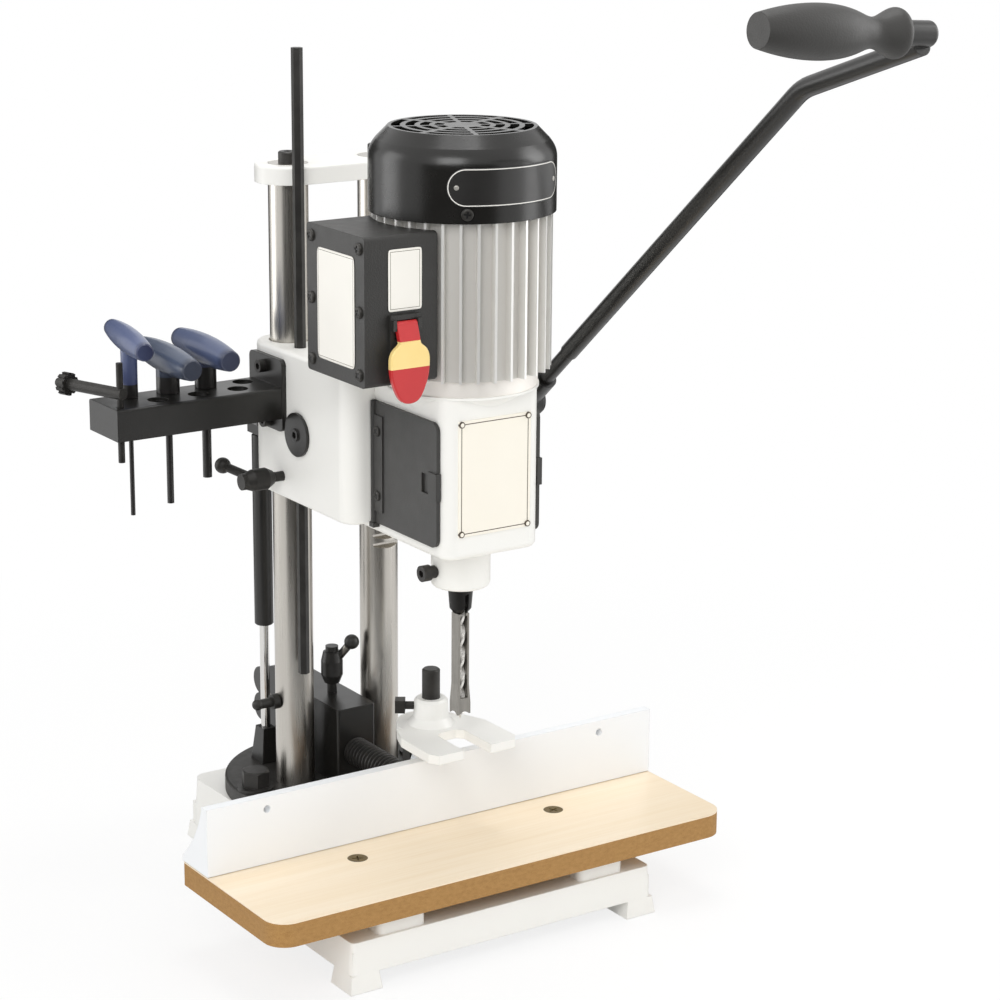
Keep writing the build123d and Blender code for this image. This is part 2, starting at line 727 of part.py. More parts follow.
holddown -= screw_seat * rod_x(thread_r + slide_clear, 0, clamp_z, thread_start, 0)
parts["holddown"] = holddown
thumb = rod_x(thread_r, 0, clamp_z, thread_start, -post_r - 0.4)
thumb += block(thread_start - 8, thread_start, -5.2, 5.2, clamp_z - 5.2, clamp_z + 5.2)
parts["holddown_screw"] = screw_seat * thumb

# Head casting: carriage round the columns, spindle box with a flared top, nose
half = head_half_width
carriage_plan = Pos(0, column_y) * SlotCenterToCenter(2 * column_half_gap, 2 * (column_r + head_wrap))
slab = Pos(0, (head_front + column_y) / 2) * Rectangle(2 * half, column_y - head_front)
slab = fillet(slab.vertices().sort_by(Axis.Y)[:2], head_corner)
carriage = extrude(Pos(0, 0, head_bottom) * (carriage_plan + slab), head_top - head_bottom)
carriage = fillet(carriage.edges().group_by(Axis.Z)[-1] + carriage.edges().group_by(Axis.Z)[0], 3)
box_mid = (box_front + head_front) / 2
box_plan = Rectangle(2 * box_half_width, head_front - box_front + 30)
box_plan = Pos(0, box_mid + 15) * fillet(box_plan.vertices().sort_by(Axis.Y)[:2], box_corner)
spindle_box = extrude(Pos(0, 0, box_bottom) * box_plan, lip_top - box_bottom)
low_rim = spindle_box.edges().group_by(Axis.Z)[0].sort_by(Axis.Y)[:-1]
spindle_box = fillet(low_rim, 5)
flare_waist = box_half_width - 0.5
flare_line = Polyline(
    (lip_r, flare_end), (lip_r, lip_top), (0, lip_top), (0, flare_start), (flare_waist, flare_start))
flare_mid = (flare_waist + (lip_r - flare_waist) * 0.28, flare_start + flare_height * 0.62)
flare_line += ThreePointArc((flare_waist, flare_start), flare_mid, (lip_r, flare_end))
flare = revolve(make_face(Plane.XZ * flare_line), Axis.Z)
nose = rod_z(nose_r, 0, spindle_y, nose_bottom, box_bottom + 2)
nose = fillet(nose.edges().filter_by(GeomType.CIRCLE).sort_by(Axis.Z)[:1], 3.5)
head = carriage + spindle_box + Pos(0, spindle_y) * flare + nose
head += rod_x(boss_r, lever_y, lever_axis_z, half - 5, boss_end)
head -= rod_z(shell_r - 1, 0, spindle_y, lip_top, head_top + 5)
window_z0 = door_bottom + 11
window_z1 = door_top - 9
chamber_low = box_bottom + 6
head -= rod_z(chamber_r, 0, spindle_y, chamber_low, lip_top - 11)
head -= block(-box_half_width - 1, box_half_width + 1, box_front + 11, head_front - 16,
              window_z0, window_z1)
spigot_r = 26.0
head -= rod_z(spigot_r, 0, spindle_y, lip_top - 12, lip_top + 1)
head -= rod_z(chisel_shank_r + slide_clear, 0, spindle_y, nose_bottom - 1, chamber_low + 1)
clamp_screw_z = nose_bottom + clamp_screw_rise
head -= rod_x(4.05, spindle_y, clamp_screw_z, -nose_r - 2, 0)
for side in (-1, 1):
    bore_x = side * column_half_gap
    head -= rod_z(column_r + 1, bore_x, column_y, head_bottom - 1, head_top + 1)
    for bush_low in (head_bottom + bush_recess, head_top - bush_recess - bush_height):
        head -= rod_z(bush_r, bore_x, column_y, bush_low, bush_low + bush_height)
gear_room_r = rack_module * pinion_teeth / 2 + rack_module + 2
room_half = pinion_width / 2 + 2
head -= rod_x(gear_room_r, lever_y, lever_axis_z, column_half_gap - room_half, column_half_gap + room_half)
head -= rod_x(shaft_r + slide_clear, lever_y, lever_axis_z, -half - 1, boss_end + 1)
head -= rod_z(depth_af * 0.6, depth_x, depth_y, head_bottom - 1, head_top + 1)
head -= rod_x(4.05, depth_y, depth_lock_z, -half - 1, depth_x)
parts["head_casting"] = head

bush_list = []
for side in (-1, 1):
    for low in (head_bottom + bush_recess, head_top - bush_recess - bush_height):
        ring = rod_z(bush_r, side * column_half_gap, column_y, low, low + bush_height)
        way = rod_z(column_r + slide_clear, side * column_half_gap, column_y, low - 1, head_top + 1)
        bush_list.append(ring - way)
parts["guide_bushes"] = group(*bush_list)

# Motor: end bell, finned housing, wound core, top shield, fan cover
bell = rod_z(bell_r, 0, spindle_y, lip_top, bell_top)
bell += rod_z(spigot_r - 0.1, 0, spindle_y, lip_top - 11, lip_top)
bell -= rod_z(bearing_r, 0, spindle_y, bell_top - bearing_height, bell_top + 1)
bell -= rod_z(motor_shaft_r + 3, 0, spindle_y, lip_top - 12, bell_top)
parts["motor_bell"] = bell
tube_plan = Circle(core_r)
fin = Pos((core_r + fin_r) / 2 - 0.5, 0) * Rectangle(fin_r - core_r + 1, fin_thick)
for index in range(fin_count):
    tube_plan += Rot(0, 0, 360 * index / fin_count) * fin
tube_plan -= Circle(housing_bore_r)
housing = extrude(Pos(0, spindle_y, bell_top) * tube_plan, housing_top - bell_top)
floor = Pos(0, spindle_y, bell_top) * (Circle(core_r) - Circle(bell_r - 12))
housing += extrude(floor, 6)
switch_mid = (switch_bottom + switch_top) / 2
pad_block = block(-pad_face, -core_r + 3, spindle_y - 17, spindle_y + 17, switch_mid - 34, switch_mid + 34)
housing += pad_block - rod_z(core_r - 1, 0, spindle_y, bell_top, housing_top)
parts["motor_housing"] = housing
stator_low = bell_top + 22
stator_high = housing_top - 22
stator = Circle(housing_bore_r) - Circle(stator_bore_r)
parts["motor_stator"] = extrude(Pos(0, spindle_y, stator_low) * stator, stator_high - stator_low)
shield_low = housing_top - bearing_height - 2
shield = rod_z(housing_bore_r, 0, spindle_y, shield_low, housing_top)
shield -= rod_z(bearing_r, 0, spindle_y, shield_low - 1, housing_top - 2)
shield -= rod_z(motor_shaft_r + 3, 0, spindle_y, shield_low, housing_top + 1)
parts["motor_shield"] = shield
low_ring = rod_z(bearing_r, 0, spindle_y, bell_top - bearing_height, bell_top)
high_ring = rod_z(bearing_r, 0, spindle_y, housing_top - 2 - bearing_height, housing_top - 2)
shaft_way = rod_z(motor_shaft_r + slide_clear, 0, spindle_y, lip_top - 20, housing_top + 5)
parts["motor_bearings"] = group(low_ring - shaft_way, high_ring - shaft_way)
shell_in = shell_r - shell_wall
crown_r = grille_r + 2
crown_in = crown_r - 1
shell_line = Polyline(
    (shell_in, shell_shoulder), (shell_in, housing_top + 3), (core_r - 3, housing_top + 3),
    (core_r - 3, housing_top), (shell_r, housing_top), (shell_r, shell_shoulder))
knuckle_r = shell_r - 5.5
knuckle_z = shell_shoulder + 0.6 * shell_rise
shell_line += Spline((shell_r, shell_shoulder), (knuckle_r, knuckle_z), tangents=((0, 1), (-0.8, 1)))
shell_line += Line((knuckle_r, knuckle_z), (crown_r, shell_top))
roof_z = shell_top - shell_wall
shell_line += Polyline((crown_r, shell_top), (0, shell_top), (0, roof_z), (crown_in, roof_z))
bend_r = knuckle_r - 0.8 * shell_wall
bend_z = knuckle_z - 0.8 * shell_wall
shell_line += Line((crown_in, roof_z), (bend_r, bend_z))
shell_line += Spline((bend_r, bend_z), (shell_in, shell_shoulder), tangents=((0.8, -1), (0, -1)))
shell = revolve(make_face(Plane.XZ * shell_line), Axis.Z)
slots = Sketch()
slot_width = grille_r / 8
for ring_index in range(4):
    slot_in = grille_r * (0.26 + 0.2 * ring_index)
    slots += Circle(slot_in + slot_width) - Circle(slot_in)
for index in range(4):
    spoke_width = 5.5 if index % 2 == 0 else 3.5
    slots -= Rot(0, 0, 45 * index + 23) * Rectangle(2.4 * grille_r, spoke_width)
shell -= extrude(Pos(0, 0, roof_z - 2) * slots, shell_wall + 4)
screw_list = []
for angle in (-120, 0, 120):
    side_x = cos(radians(angle))
    side_y = sin(radians(angle))
    hole_z = housing_top + 7
    inside = (side_x * (shell_in - 5), side_y * (shell_in - 5), hole_z)
    seat = (side_x * shell_r, side_y * shell_r, hole_z)
    outside = (side_x * (shell_r + 1.6), side_y * (shell_r + 1.6), hole_z)
    shell -= bar(inside, outside, 2.1)
    screw_list.append(Pos(0, spindle_y) * (bar(inside, seat, 2.0) + bar(seat, outside, 4.2)))
parts["fan_cover"] = Pos(0, spindle_y) * shell

# Rotor, shaft, fan and chuck turn together
fan_low = housing_top + 9
fan_high = fan_low + 26
rotor = rod_z(rotor_r, 0, spindle_y, stator_low + 3, stator_high - 3)
parts["rotor"] = rotor + rod_z(motor_shaft_r, 0, spindle_y, chuck_top - 20, fan_high + 4)
fan = rod_z(18, 0, spindle_y, fan_low, fan_high) + rod_z(fan_r, 0, spindle_y, fan_low, fan_low + 2.5)
for index in range(fan_blades):
    blade = block(14, fan_r - 1, -1.2, 1.2, fan_low, fan_high)
    fan += Pos(0, spindle_y) * Rot(0, 0, 360 * index / fan_blades) * blade
parts["fan"] = fan - rod_z(motor_shaft_r, 0, spindle_y, fan_low - 1, fan_high + 1)
collar_z = chuck_bottom + 26
chuck = turned(
    (auger_r, chuck_bottom), (9, chuck_bottom), (15, collar_z - 4), (15, collar_z - 1),
    (chuck_r + 1.5, collar_z), (chuck_r + 1.5, collar_z + 7), (chuck_r, collar_z + 8),
    (chuck_r, chuck_top - 3), (chuck_r - 3, chuck_top), (motor_shaft_r, chuck_top),
    (motor_shaft_r, chuck_top - 20), (auger_r, chuck_top - 20))
for index in range(3):
    angle = radians(120 * index)
    key_at = ((chuck_r + 3) * cos(angle), (chuck_r + 3) * sin(angle), collar_z - 3)
    chuck -= bar(key_at, (9 * cos(angle), 9 * sin(angle), collar_z + 11), 2.6)
parts["chuck"] = Pos(0, spindle_y) * chuck

# Auger bit: round shank in the chuck, twisted double flight, spur tip
flight_top = nose_bottom - 5
flight_low = auger_tip + 4
flight_plan = Rectangle(2 * auger_r, 2.6) & Circle(auger_r)
flight_plan += Circle(auger_r * 0.42)
flight_run = flight_top - flight_low
flight_turn = 360 * flight_run / auger_pitch
flight = Solid.extrude_linear_with_rotation(flight_plan.face(), (0, 0, 0), (0, 0, flight_run), flight_turn)
flight = Pos(0, spindle_y, flight_low) * flight
spur = turned((0, auger_tip), (1.7, flight_low + 1), (0, flight_low + 1))
auger = rod_z(auger_r, 0, spindle_y, flight_top - 1, chuck_top - 22) + flight + Pos(0, spindle_y) * spur
parts["auger"] = auger

# Hollow chisel with a chip window in its front face
edge_top = chisel_tip + chisel_edge_h
chisel_low = edge_top + chisel_flare_h
neck_low = nose_bottom - chisel_collar_h
wide = Rectangle(chisel_edge, chisel_edge)
slim = Rectangle(chisel_body, chisel_body)
chisel = extrude(Pos(0, 0, chisel_tip) * wide, chisel_edge_h)
chisel += loft([Pos(0, 0, edge_top) * wide, Pos(0, 0, chisel_low) * slim])
chisel += extrude(Pos(0, 0, chisel_low) * slim, neck_low - chisel_low)
chisel += turned(
    (0, neck_low), (chisel_body / 2 + 0.4, neck_low), (chisel_collar_r - 1.5, neck_low + 4),
    (chisel_collar_r, nose_bottom), (chisel_shank_r, nose_bottom), (chisel_shank_r, chamber_low - 1),
    (0, chamber_low - 1))
bore_r = auger_r + 0.15
chisel -= rod_z(bore_r, 0, 0, chisel_tip - 1, chamber_low + 1)
mouth_r = chisel_edge * 0.62
chisel -= turned(
    (0, chisel_tip - 1), (mouth_r + 0.8, chisel_tip - 1), (bore_r, chisel_tip + 5), (0, chisel_tip + 5))
slot_half = chisel_slot_w / 2
chisel -= block(-slot_half, slot_half, -chisel_edge, 0, edge_top + 4, neck_low - 2)
chisel -= block(-slot_half / 2, slot_half / 2, -chisel_edge, 0, neck_low - 3, nose_bottom - 6)
parts["chisel"] = Pos(0, spindle_y) * chisel
clamp = rod_x(4, spindle_y, clamp_screw_z, -nose_r - 6, -chisel_shank_r - 0.3)
clamp += rod_x(5, spindle_y, clamp_screw_z, -nose_r - 6, -nose_r - 1)
head_start = -nose_r - 13
clamp += rod_x(6.3, spindle_y, clamp_screw_z, head_start, -nose_r - 6)
clamp -= Pos(head_start, spindle_y, clamp_screw_z) * Rot(0, 90, 0) * extrude(
    RegularPolygon(2.6, 6, major_radius=False), 5)
parts["chisel_screw"] = clamp


# Doors on both sides of the spindle box, each on a captive vertical pin
def hinge(side):
    pin_x = side * (box_half_width + door_gap + hinge_knuckle_r)
    pin_y = head_front - hinge_knuckle_r - 0.6
    pin = rod_z(hinge_pin_r, pin_x, pin_y, door_bottom - 4, door_top + 0.8)
    inner = side * box_half_width
    outer = side * (box_half_width + door_gap + 2 * hinge_knuckle_r)
    low = block(min(inner, outer), max(inner, outer), pin_y - hinge_knuckle_r, head_front,
                door_bottom - 4, door_bottom - 0.4)
    return pin + low


def door(side):
    pin_x = side * (box_half_width + door_gap + hinge_knuckle_r)
    pin_y = head_front - hinge_knuckle_r - 0.6
    inner = box_half_width + door_gap
    outer = inner + door_thick
    front = box_front + door_set_in
    sheet_plan = Rectangle(pin_y - front, door_top - door_bottom)
    sheet_plan = fillet(sheet_plan.vertices().sort_by(Axis.X)[:2], door_corner)
    mid_z = (door_bottom + door_top) / 2
    centre = (inner, (front + pin_y) / 2, mid_z)
    plane = Plane(origin=centre, x_dir=(0, 1, 0), z_dir=(1, 0, 0))
    leaf = extrude(plane * sheet_plan, door_thick)
    leaf += block(outer - 1, outer + 1.2, pin_y - 14, pin_y - 1, door_bottom + 10, door_top - 10)
    leaf -= block(outer - 2, outer + 1, front + 11, front + 21, mid_z - 8, mid_z + 7)
    leaf += block(inner, outer + 1.4, front - 1.2, front + 10, mid_z - 11, mid_z + 10)
    leaf += rod_z(hinge_knuckle_r, side * pin_x, pin_y, door_bottom, door_top)
    leaf -= rod_z(hinge_pin_r + slide_clear, side * pin_x, pin_y, door_bottom - 1, door_top + 1)
    return leaf if side > 0 else mirrored(leaf)


parts["door_hinges"] = group(hinge(-1), hinge(1))
parts["door_left"] = door(-1)
parts["door_right"] = door(1)

# Switch box on the motor's left pad, its screwed cover, switch body and paddle
cover_face = switch_left + cover_thick
case = block(cover_face, switch_right, switch_front, switch_rear, switch_bottom, switch_top)
case = fillet(case.edges().filter_by(Axis.X), 3)
case -= rod_z(fin_r + 0.4, 0, spindle_y, switch_bottom - 1, switch_top + 1)
case -= block(-pad_face, -core_r, spindle_y - 17, spindle_y + 17, switch_mid - 34, switch_mid + 34)
room_right = -pad_face - switch_wall
case -= block(cover_face - 1, room_right, switch_front + switch_wall, switch_rear - switch_wall,
              switch_bottom + switch_wall, switch_top - switch_wall)
body_z0 = paddle_pivot_z - 30
body_z1 = paddle_pivot_z + 4
case -= block(paddle_x - 10, paddle_x + 7, switch_front - 1, switch_front + 4, body_z0, body_z1)
cover = block(switch_left, cover_face, switch_front, switch_rear, switch_bottom, switch_top)
cover = fillet(cover.edges().filter_by(Axis.X), 3)
for edge in (0, 1):
    for level in (0, 1, 2):
        hole_y = switch_front + 7 + edge * (switch_depth - 14)
        hole_z = switch_bottom + 9 + level * (switch_top - switch_bottom - 18) / 2
        cover -= rod_x(2.1, hole_y, hole_z, switch_left - 1, cover_face + 1)
        post_side = -3 if edge == 0 else 3
        case += rod_x(4, hole_y + post_side, hole_z, cover_face, cover_face + 12) & block(
            switch_left, switch_right, switch_front, switch_rear, switch_bottom, switch_top)
        case -= rod_x(2.1, hole_y, hole_z, cover_face - 1, cover_face + 9)
        screw_list.append(rod_x(4.2, hole_y, hole_z, switch_left - 1.6, switch_left)
                          + rod_x(2, hole_y, hole_z, switch_left, cover_face + 8))
parts["switch_case"] = case
parts["switch_cover"] = cover
body = block(paddle_x - 10, paddle_x + 7, switch_front, switch_front + 26, body_z0, body_z1)
paddle_mid = paddle_x + paddle_shift
pivot_y = switch_front - 3.2
ear_in = paddle_neck_half + 0.4
ear_out = ear_in + 3
rim_half = ear_out + 0.5
body += block(paddle_mid - rim_half, paddle_mid + rim_half, switch_front - 3, switch_front,
              body_z0 - 3, body_z1 + 3)
for side in (-1, 1):
    ear = block(ear_in, ear_out, pivot_y - 3, switch_front - 2, paddle_pivot_z - 4, paddle_pivot_z + 4)
    body += Pos(paddle_mid, 0, 0) * (ear if side > 0 else mirrored(ear))
body -= block(paddle_mid - ear_in, paddle_mid + ear_in, pivot_y - 4, switch_front,
              paddle_pivot_z - 11, paddle_pivot_z + 3.3)
pin_reach = ear_in + 2.5
body -= rod_x(1.5, pivot_y, paddle_pivot_z, paddle_mid - pin_reach, paddle_mid + pin_reach)
parts["switch_body"] = body
widest_z = paddle_bottom + 31
neck_z = paddle_pivot_z - 11.5
shoulder = Polyline((0, paddle_pivot_z), (paddle_neck_half, paddle_pivot_z), (paddle_neck_half, neck_z))
shoulder += Spline(
    (paddle_neck_half, neck_z), (paddle_half * 0.74, neck_z - 4.6), (paddle_half, widest_z),
    tangents=((0.1, -1), (0, -1)))
low_run = widest_z - paddle_bottom
shoulder += Spline(
    (paddle_half, widest_z), (paddle_half * 0.71, widest_z - low_run * 0.71), (0, paddle_bottom),
    tangents=((0, -1), (-1, 0)))
shoulder += Line((0, paddle_bottom), (0, paddle_pivot_z))
half_tongue = make_face(shoulder)
tongue = half_tongue + mirror(half_tongue, about=Plane.YZ)
tongue_back = switch_front - paddle_stand
tongue_front = tongue_back - paddle_thick
front_plane = Plane(origin=(paddle_mid, tongue_back, 0), x_dir=(1, 0, 0), z_dir=(0, -1, 0))
paddle = extrude(front_plane * tongue, paddle_thick)
paddle = fillet(paddle.faces().sort_by(Axis.Y)[0].edges(), 1.2)
paddle -= block(paddle_mid - 40, paddle_mid + 40, tongue_front - 1, switch_front,
                neck_z, paddle_pivot_z + 9)
hinge_half = paddle_neck_half
paddle += rod_x(2.7, pivot_y, paddle_pivot_z, paddle_mid - hinge_half, paddle_mid + hinge_half)
neck_line = Polyline(
    (pivot_y + 1.5, paddle_pivot_z), (pivot_y - 2.7, paddle_pivot_z), (tongue_front, neck_z - 1.5),
    (tongue_back, neck_z - 1.5), (pivot_y + 1.5, paddle_pivot_z))
neck_plane = Plane(origin=(paddle_mid - hinge_half, 0, 0), x_dir=(0, 1, 0), z_dir=(1, 0, 0))
paddle += extrude(neck_plane * make_face(neck_line), 2 * hinge_half)
pin_half = ear_in + 2
paddle += rod_x(1.45, pivot_y, paddle_pivot_z, paddle_mid - pin_half, paddle_mid + pin_half)
parts["switch_paddle"] = paddle

# Blank plate with four rivets on the front of the spindle box
plate_half = 32.0
plate_low = box_bottom + 18.5
plate_high = plate_low + 89
rivet_inset = 2.4
rivet_r = 2.3
plate = block(-plate_half, plate_half, box_front - 1, box_front, plate_low, plate_high)
rivets = []
for side in (-1, 1):
    for level in (plate_low + rivet_inset, plate_high - rivet_inset):
        at_x = side * (plate_half - rivet_inset)
        plate -= rod_y(1.2, at_x, level, box_front - 2, box_front + 1)
        head_side = rod_y(rivet_r, at_x, level, box_front - 2, box_front - 1)
        rivets.append(head_side + rod_y(1.2, at_x, level, box_front - 1, box_front))
parts["name_plate"] = group(plate, *rivets)

# Depth stop rod and its lock lever on the left of the head
parts["depth_rod"] = hex_z(depth_af, depth_x, depth_y, depth_bottom, depth_top, 26)
stem = turned(
    (0, 0), (4, 0), (4, 21), (5.6, 22), (8.8, 28), (8.8, 40), (6.6, 46), (6.6, 50), (0, 50))
lock_seat = depth_x - depth_af * 0.6 - 0.2
lever = Pos(lock_seat, depth_y, depth_lock_z) * Rot(0, -90, 0) * stem
arm_start = (lock_seat - 36, depth_y, depth_lock_z)
arm_stop = (lock_seat - 50, depth_y + 30, depth_lock_z + 7)
lever += bar(arm_start, arm_stop, 3.6)
lever += Pos(*arm_stop) * Sphere(6.5)
parts["depth_lock"] = lever

# Pinion shaft with its gear, end disc, hub and bent lever with a free-turning grip
gear_start = column_half_gap - pinion_width / 2
big_gear = gear(rack_module, pinion_teeth, pinion_width, gear_backlash)
big_gear = Pos(gear_start, lever_y, lever_axis_z) * Rot(0, 90, 0) * Rot(0, 0, 90) * big_gear
hub_end = hub_start + hub_length
shaft = rod_x(shaft_r, lever_y, lever_axis_z, -half - 0.3, boss_end + 1)
shaft += rod_x(shaft_end_r, lever_y, lever_axis_z, boss_end, hub_end - 4)
shaft += big_gear
disc_face = -half - 0.3
disc_front = disc_face - disc_thick
disc = rod_x(disc_r, lever_y, lever_axis_z, disc_front, disc_face)
disc += rod_x(5, lever_y, lever_axis_z, disc_front - 1.4, disc_front)
disc -= Pos(disc_front - 1.5, lever_y, lever_axis_z) * Rot(0, 90, 0) * extrude(
    RegularPolygon(2.5, 6, major_radius=False), 4)
parts["pinion_shaft"] = shaft
parts["shaft_disc"] = disc
hub = turned(
    (0, 0), (hub_r - 1.5, 0), (hub_r, 1.5), (hub_r, hub_length - 5), (hub_r - 2, hub_length - 1.4),
    (hub_r - 5, hub_length), (0, hub_length))
hub = Pos(hub_start, lever_y, lever_axis_z) * Rot(0, 90, 0) * hub
up = radians(arm_angle)
flat = radians(tip_angle)


def on_arm(reach):
    return (arm_x, lever_y - reach * cos(up), lever_axis_z + reach * sin(up))


thick_at = on_arm(arm_stud_reach)
bend_at = on_arm(arm_length)
tip_y = bend_at[1] - tip_length * cos(flat)
tip_z = bend_at[2] + tip_length * sin(flat)
arm_line = FilletPolyline(thick_at, bend_at, (arm_x, tip_y, tip_z), radius=arm_bend_r)
arm_start = Plane(origin=thick_at, z_dir=Vector(*bend_at) - Vector(*thick_at))
arm = sweep(arm_start * Circle(arm_r), path=arm_line)
stud = bar(on_arm(shaft_end_r + 1), thick_at, arm_stud_r)
arm += stud
hub += bar(on_arm(0), on_arm(hub_boss_reach), hub_boss_r)
hub -= rod_x(shaft_end_r, lever_y, lever_axis_z, hub_start - 1, hub_end - 4)
hub -= stud
parts["lever_hub"] = hub
lean = radians(grip_lean)


def on_grip(reach):
    return (arm_x - reach * cos(lean), tip_y, tip_z + tip_boss_raise + reach * sin(lean))


tip_boss = bar(on_grip(-tip_boss_outer), on_grip(tip_boss_inner), tip_boss_r)
arm += fillet(tip_boss.edges().filter_by(GeomType.CIRCLE).sort_by(Axis.X)[-1:], 3)
grip_start = tip_boss_inner + grip_gap
arm += bar(on_grip(0), on_grip(grip_start + grip_length - grip_cap - grip_gap), grip_pin_r)
parts["lever_arm"] = arm
way = grip_pin_r + slide_clear
face_r = grip_collar_r - 2.4
grip_skin = Spline(
    (face_r, 0), (grip_collar_r, 3.5), (grip_collar_r - 1.2, 9), (grip_neck_r, 24.5),
    (grip_r - 4.6, 38), (grip_r, 75), (grip_r - 2.5, 100), (grip_end_r, grip_length))
grip_core = Polyline(
    (grip_end_r, grip_length), (0, grip_length), (0, grip_length - grip_cap),
    (way, grip_length - grip_cap), (way, 0), (face_r, 0))
grip = revolve(make_face(Plane.XZ * (grip_skin + grip_core)), Axis.Z)
grip_seat = Plane(origin=on_grip(grip_start), z_dir=Vector(*on_grip(1)) - Vector(*on_grip(0)))
parts["lever_grip"] = grip_seat * grip

# Tool holder: bent sheet bracket with two rows of holes
tray = block(holder_end, plate_face + 1, holder_front, holder_rear, holder_top - holder_height, holder_top)
tray -= block(holder_end + holder_sheet, plate_face + 2,
              holder_front + holder_sheet, holder_rear - holder_sheet,
              holder_top - holder_height - 1, holder_top - holder_sheet)
tray = fillet(tray.faces().sort_by(Axis.Z)[-1].edges().filter_by(Axis.X), 2.5)
plate_front = holder_front - 0.5
plate_rear = holder_rear + 3
back_plate = block(plate_face, -half, plate_front, plate_rear, holder_plate_z0, holder_plate_z1)
back_plate = fillet(back_plate.edges().filter_by(Axis.X), 5)
tray += back_plate
key_row = holder_rear - 14
front_row = holder_front + 17
key_x = [holder_end + key_inset + key_step * index for index in range(3)]
chuck_key_x = holder_end + 6.5
chuck_key_y = holder_front + 8
for index, radius in enumerate((key_small_r, key_middle_r, key_large_r)):
    tray -= rod_z(radius + 0.5, key_x[index], key_row, holder_top - 5, holder_top + 1)
for index in range(3):
    hole_x = holder_end + hole_inset + hole_step * index
    tray -= rod_z(hole_r, hole_x, front_row, holder_top - 5, holder_top + 1)
tray -= rod_z(hole_r, holder_end + last_hole_inset, key_row + 1, holder_top - 5, holder_top + 1)
tray -= rod_z(3.1, chuck_key_x, chuck_key_y, holder_top - 5, holder_top + 1)
holder_screws = []
for at_y, at_z in ((plate_rear - 24, holder_plate_z1 - 9), (plate_rear - 30, holder_plate_z0 + 6)):
    head -= rod_x(3, at_y, at_z, -half - 1, -half + 6.5)
    tray -= rod_x(3.2, at_y, at_z, plate_face - 1, -half + 1)
    cap_head = rod_x(5.2, at_y, at_z, plate_face - 6, plate_face)
    cap_head -= Pos(plate_face - 6.5, at_y, at_z) * Rot(0, 90, 0) * extrude(
        RegularPolygon(2.5, 6, major_radius=False), 4)
    holder_screws.append(cap_head + rod_x(2.95, at_y, at_z, plate_face, -half + 6))
parts["head_casting"] = head
parts["tool_holder"] = tray
parts["head_screws"] = group(*screw_list, *holder_screws)


# T-handled keys hanging in the back row
def tee_key(x, radius, length, stem_r, lift, handle_r, handle_half, turn):
    handle_z = holder_top + lift
    stem_low = holder_top + 0.3
    shaft_low = holder_top - length
    end_r = handle_r * 0.7
    barrel = Polyline(
        (end_r - 1, -handle_half), (0, -handle_half), (0, handle_half), (end_r - 1, handle_half),
        (end_r, handle_half - 1))
    barrel += ThreePointArc((end_r, handle_half - 1), (handle_r, 0), (end_r, 1 - handle_half))
    barrel += Line((end_r, 1 - handle_half), (end_r - 1, -handle_half))
    grip_line = revolve(make_face(Plane.XZ * barrel), Axis.Z)
    key = Pos(x, key_row, handle_z) * Rot(0, 0, -turn) * Rot(-90, 0, 0) * grip_line
    key += rod_z(stem_r, x, key_row, stem_low, handle_z)
    key += rod_z(radius, x, key_row, shaft_low, stem_low)
    return key


parts["key_small"] = tee_key(
    key_x[0], key_small_r, key_small_length, key_small_stem_r, key_small_lift,
    key_small_handle_r, key_small_handle_half, key_small_turn)
parts["key_middle"] = tee_key(
    key_x[1], key_middle_r, key_middle_length, key_middle_stem_r, key_middle_lift,
    key_handle_r, key_handle_half, key_turn)
parts["key_large"] = tee_key(
    key_x[2], key_large_r, key_large_length, key_large_stem_r, key_large_lift,
    key_handle_r, key_handle_half, key_turn)

# Chuck key, stored by its cross-bar
key_low = holder_top - 43
cross_bar = rod_z(2.6, chuck_key_x, chuck_key_y, key_low, holder_top + 35)
key_z = holder_top + 11
way_x = -0.355
way_y = (1 - way_x * way_x) ** 0.5


def on_key(reach):
    return (chuck_key_x + way_x * reach, chuck_key_y + way_y * reach, key_z)


gear_at = 52.0
chuck_key = bar(on_key(-3.5), on_key(gear_at), 4.6)
chuck_key += bar(on_key(gear_at), on_key(gear_at + 7), 9.0)
chuck_key += bar(on_key(gear_at + 7), on_key(gear_at + 13), 3.4)
cut_plane = Plane(origin=on_key(gear_at), z_dir=Vector(way_x, way_y, 0))
for index in range(10):
    notch = Rot(0, 0, 36 * index) * Pos(9.4, 0, 3.5) * Box(3.4, 2.6, 8)
    chuck_key -= cut_plane * notch
chuck_key -= rod_z(2.6, chuck_key_x, chuck_key_y, key_low, holder_top + 40)
parts["chuck_key"] = group(chuck_key, cross_bar)

os.makedirs("parts", exist_ok=True)
for name, shape in parts.items():
    export_step(shape, f"parts/{name}.step")
print(len(parts), "nodes")
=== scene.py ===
import math

import bmesh
import bpy
import numpy as np
from mathutils import Matrix, Vector


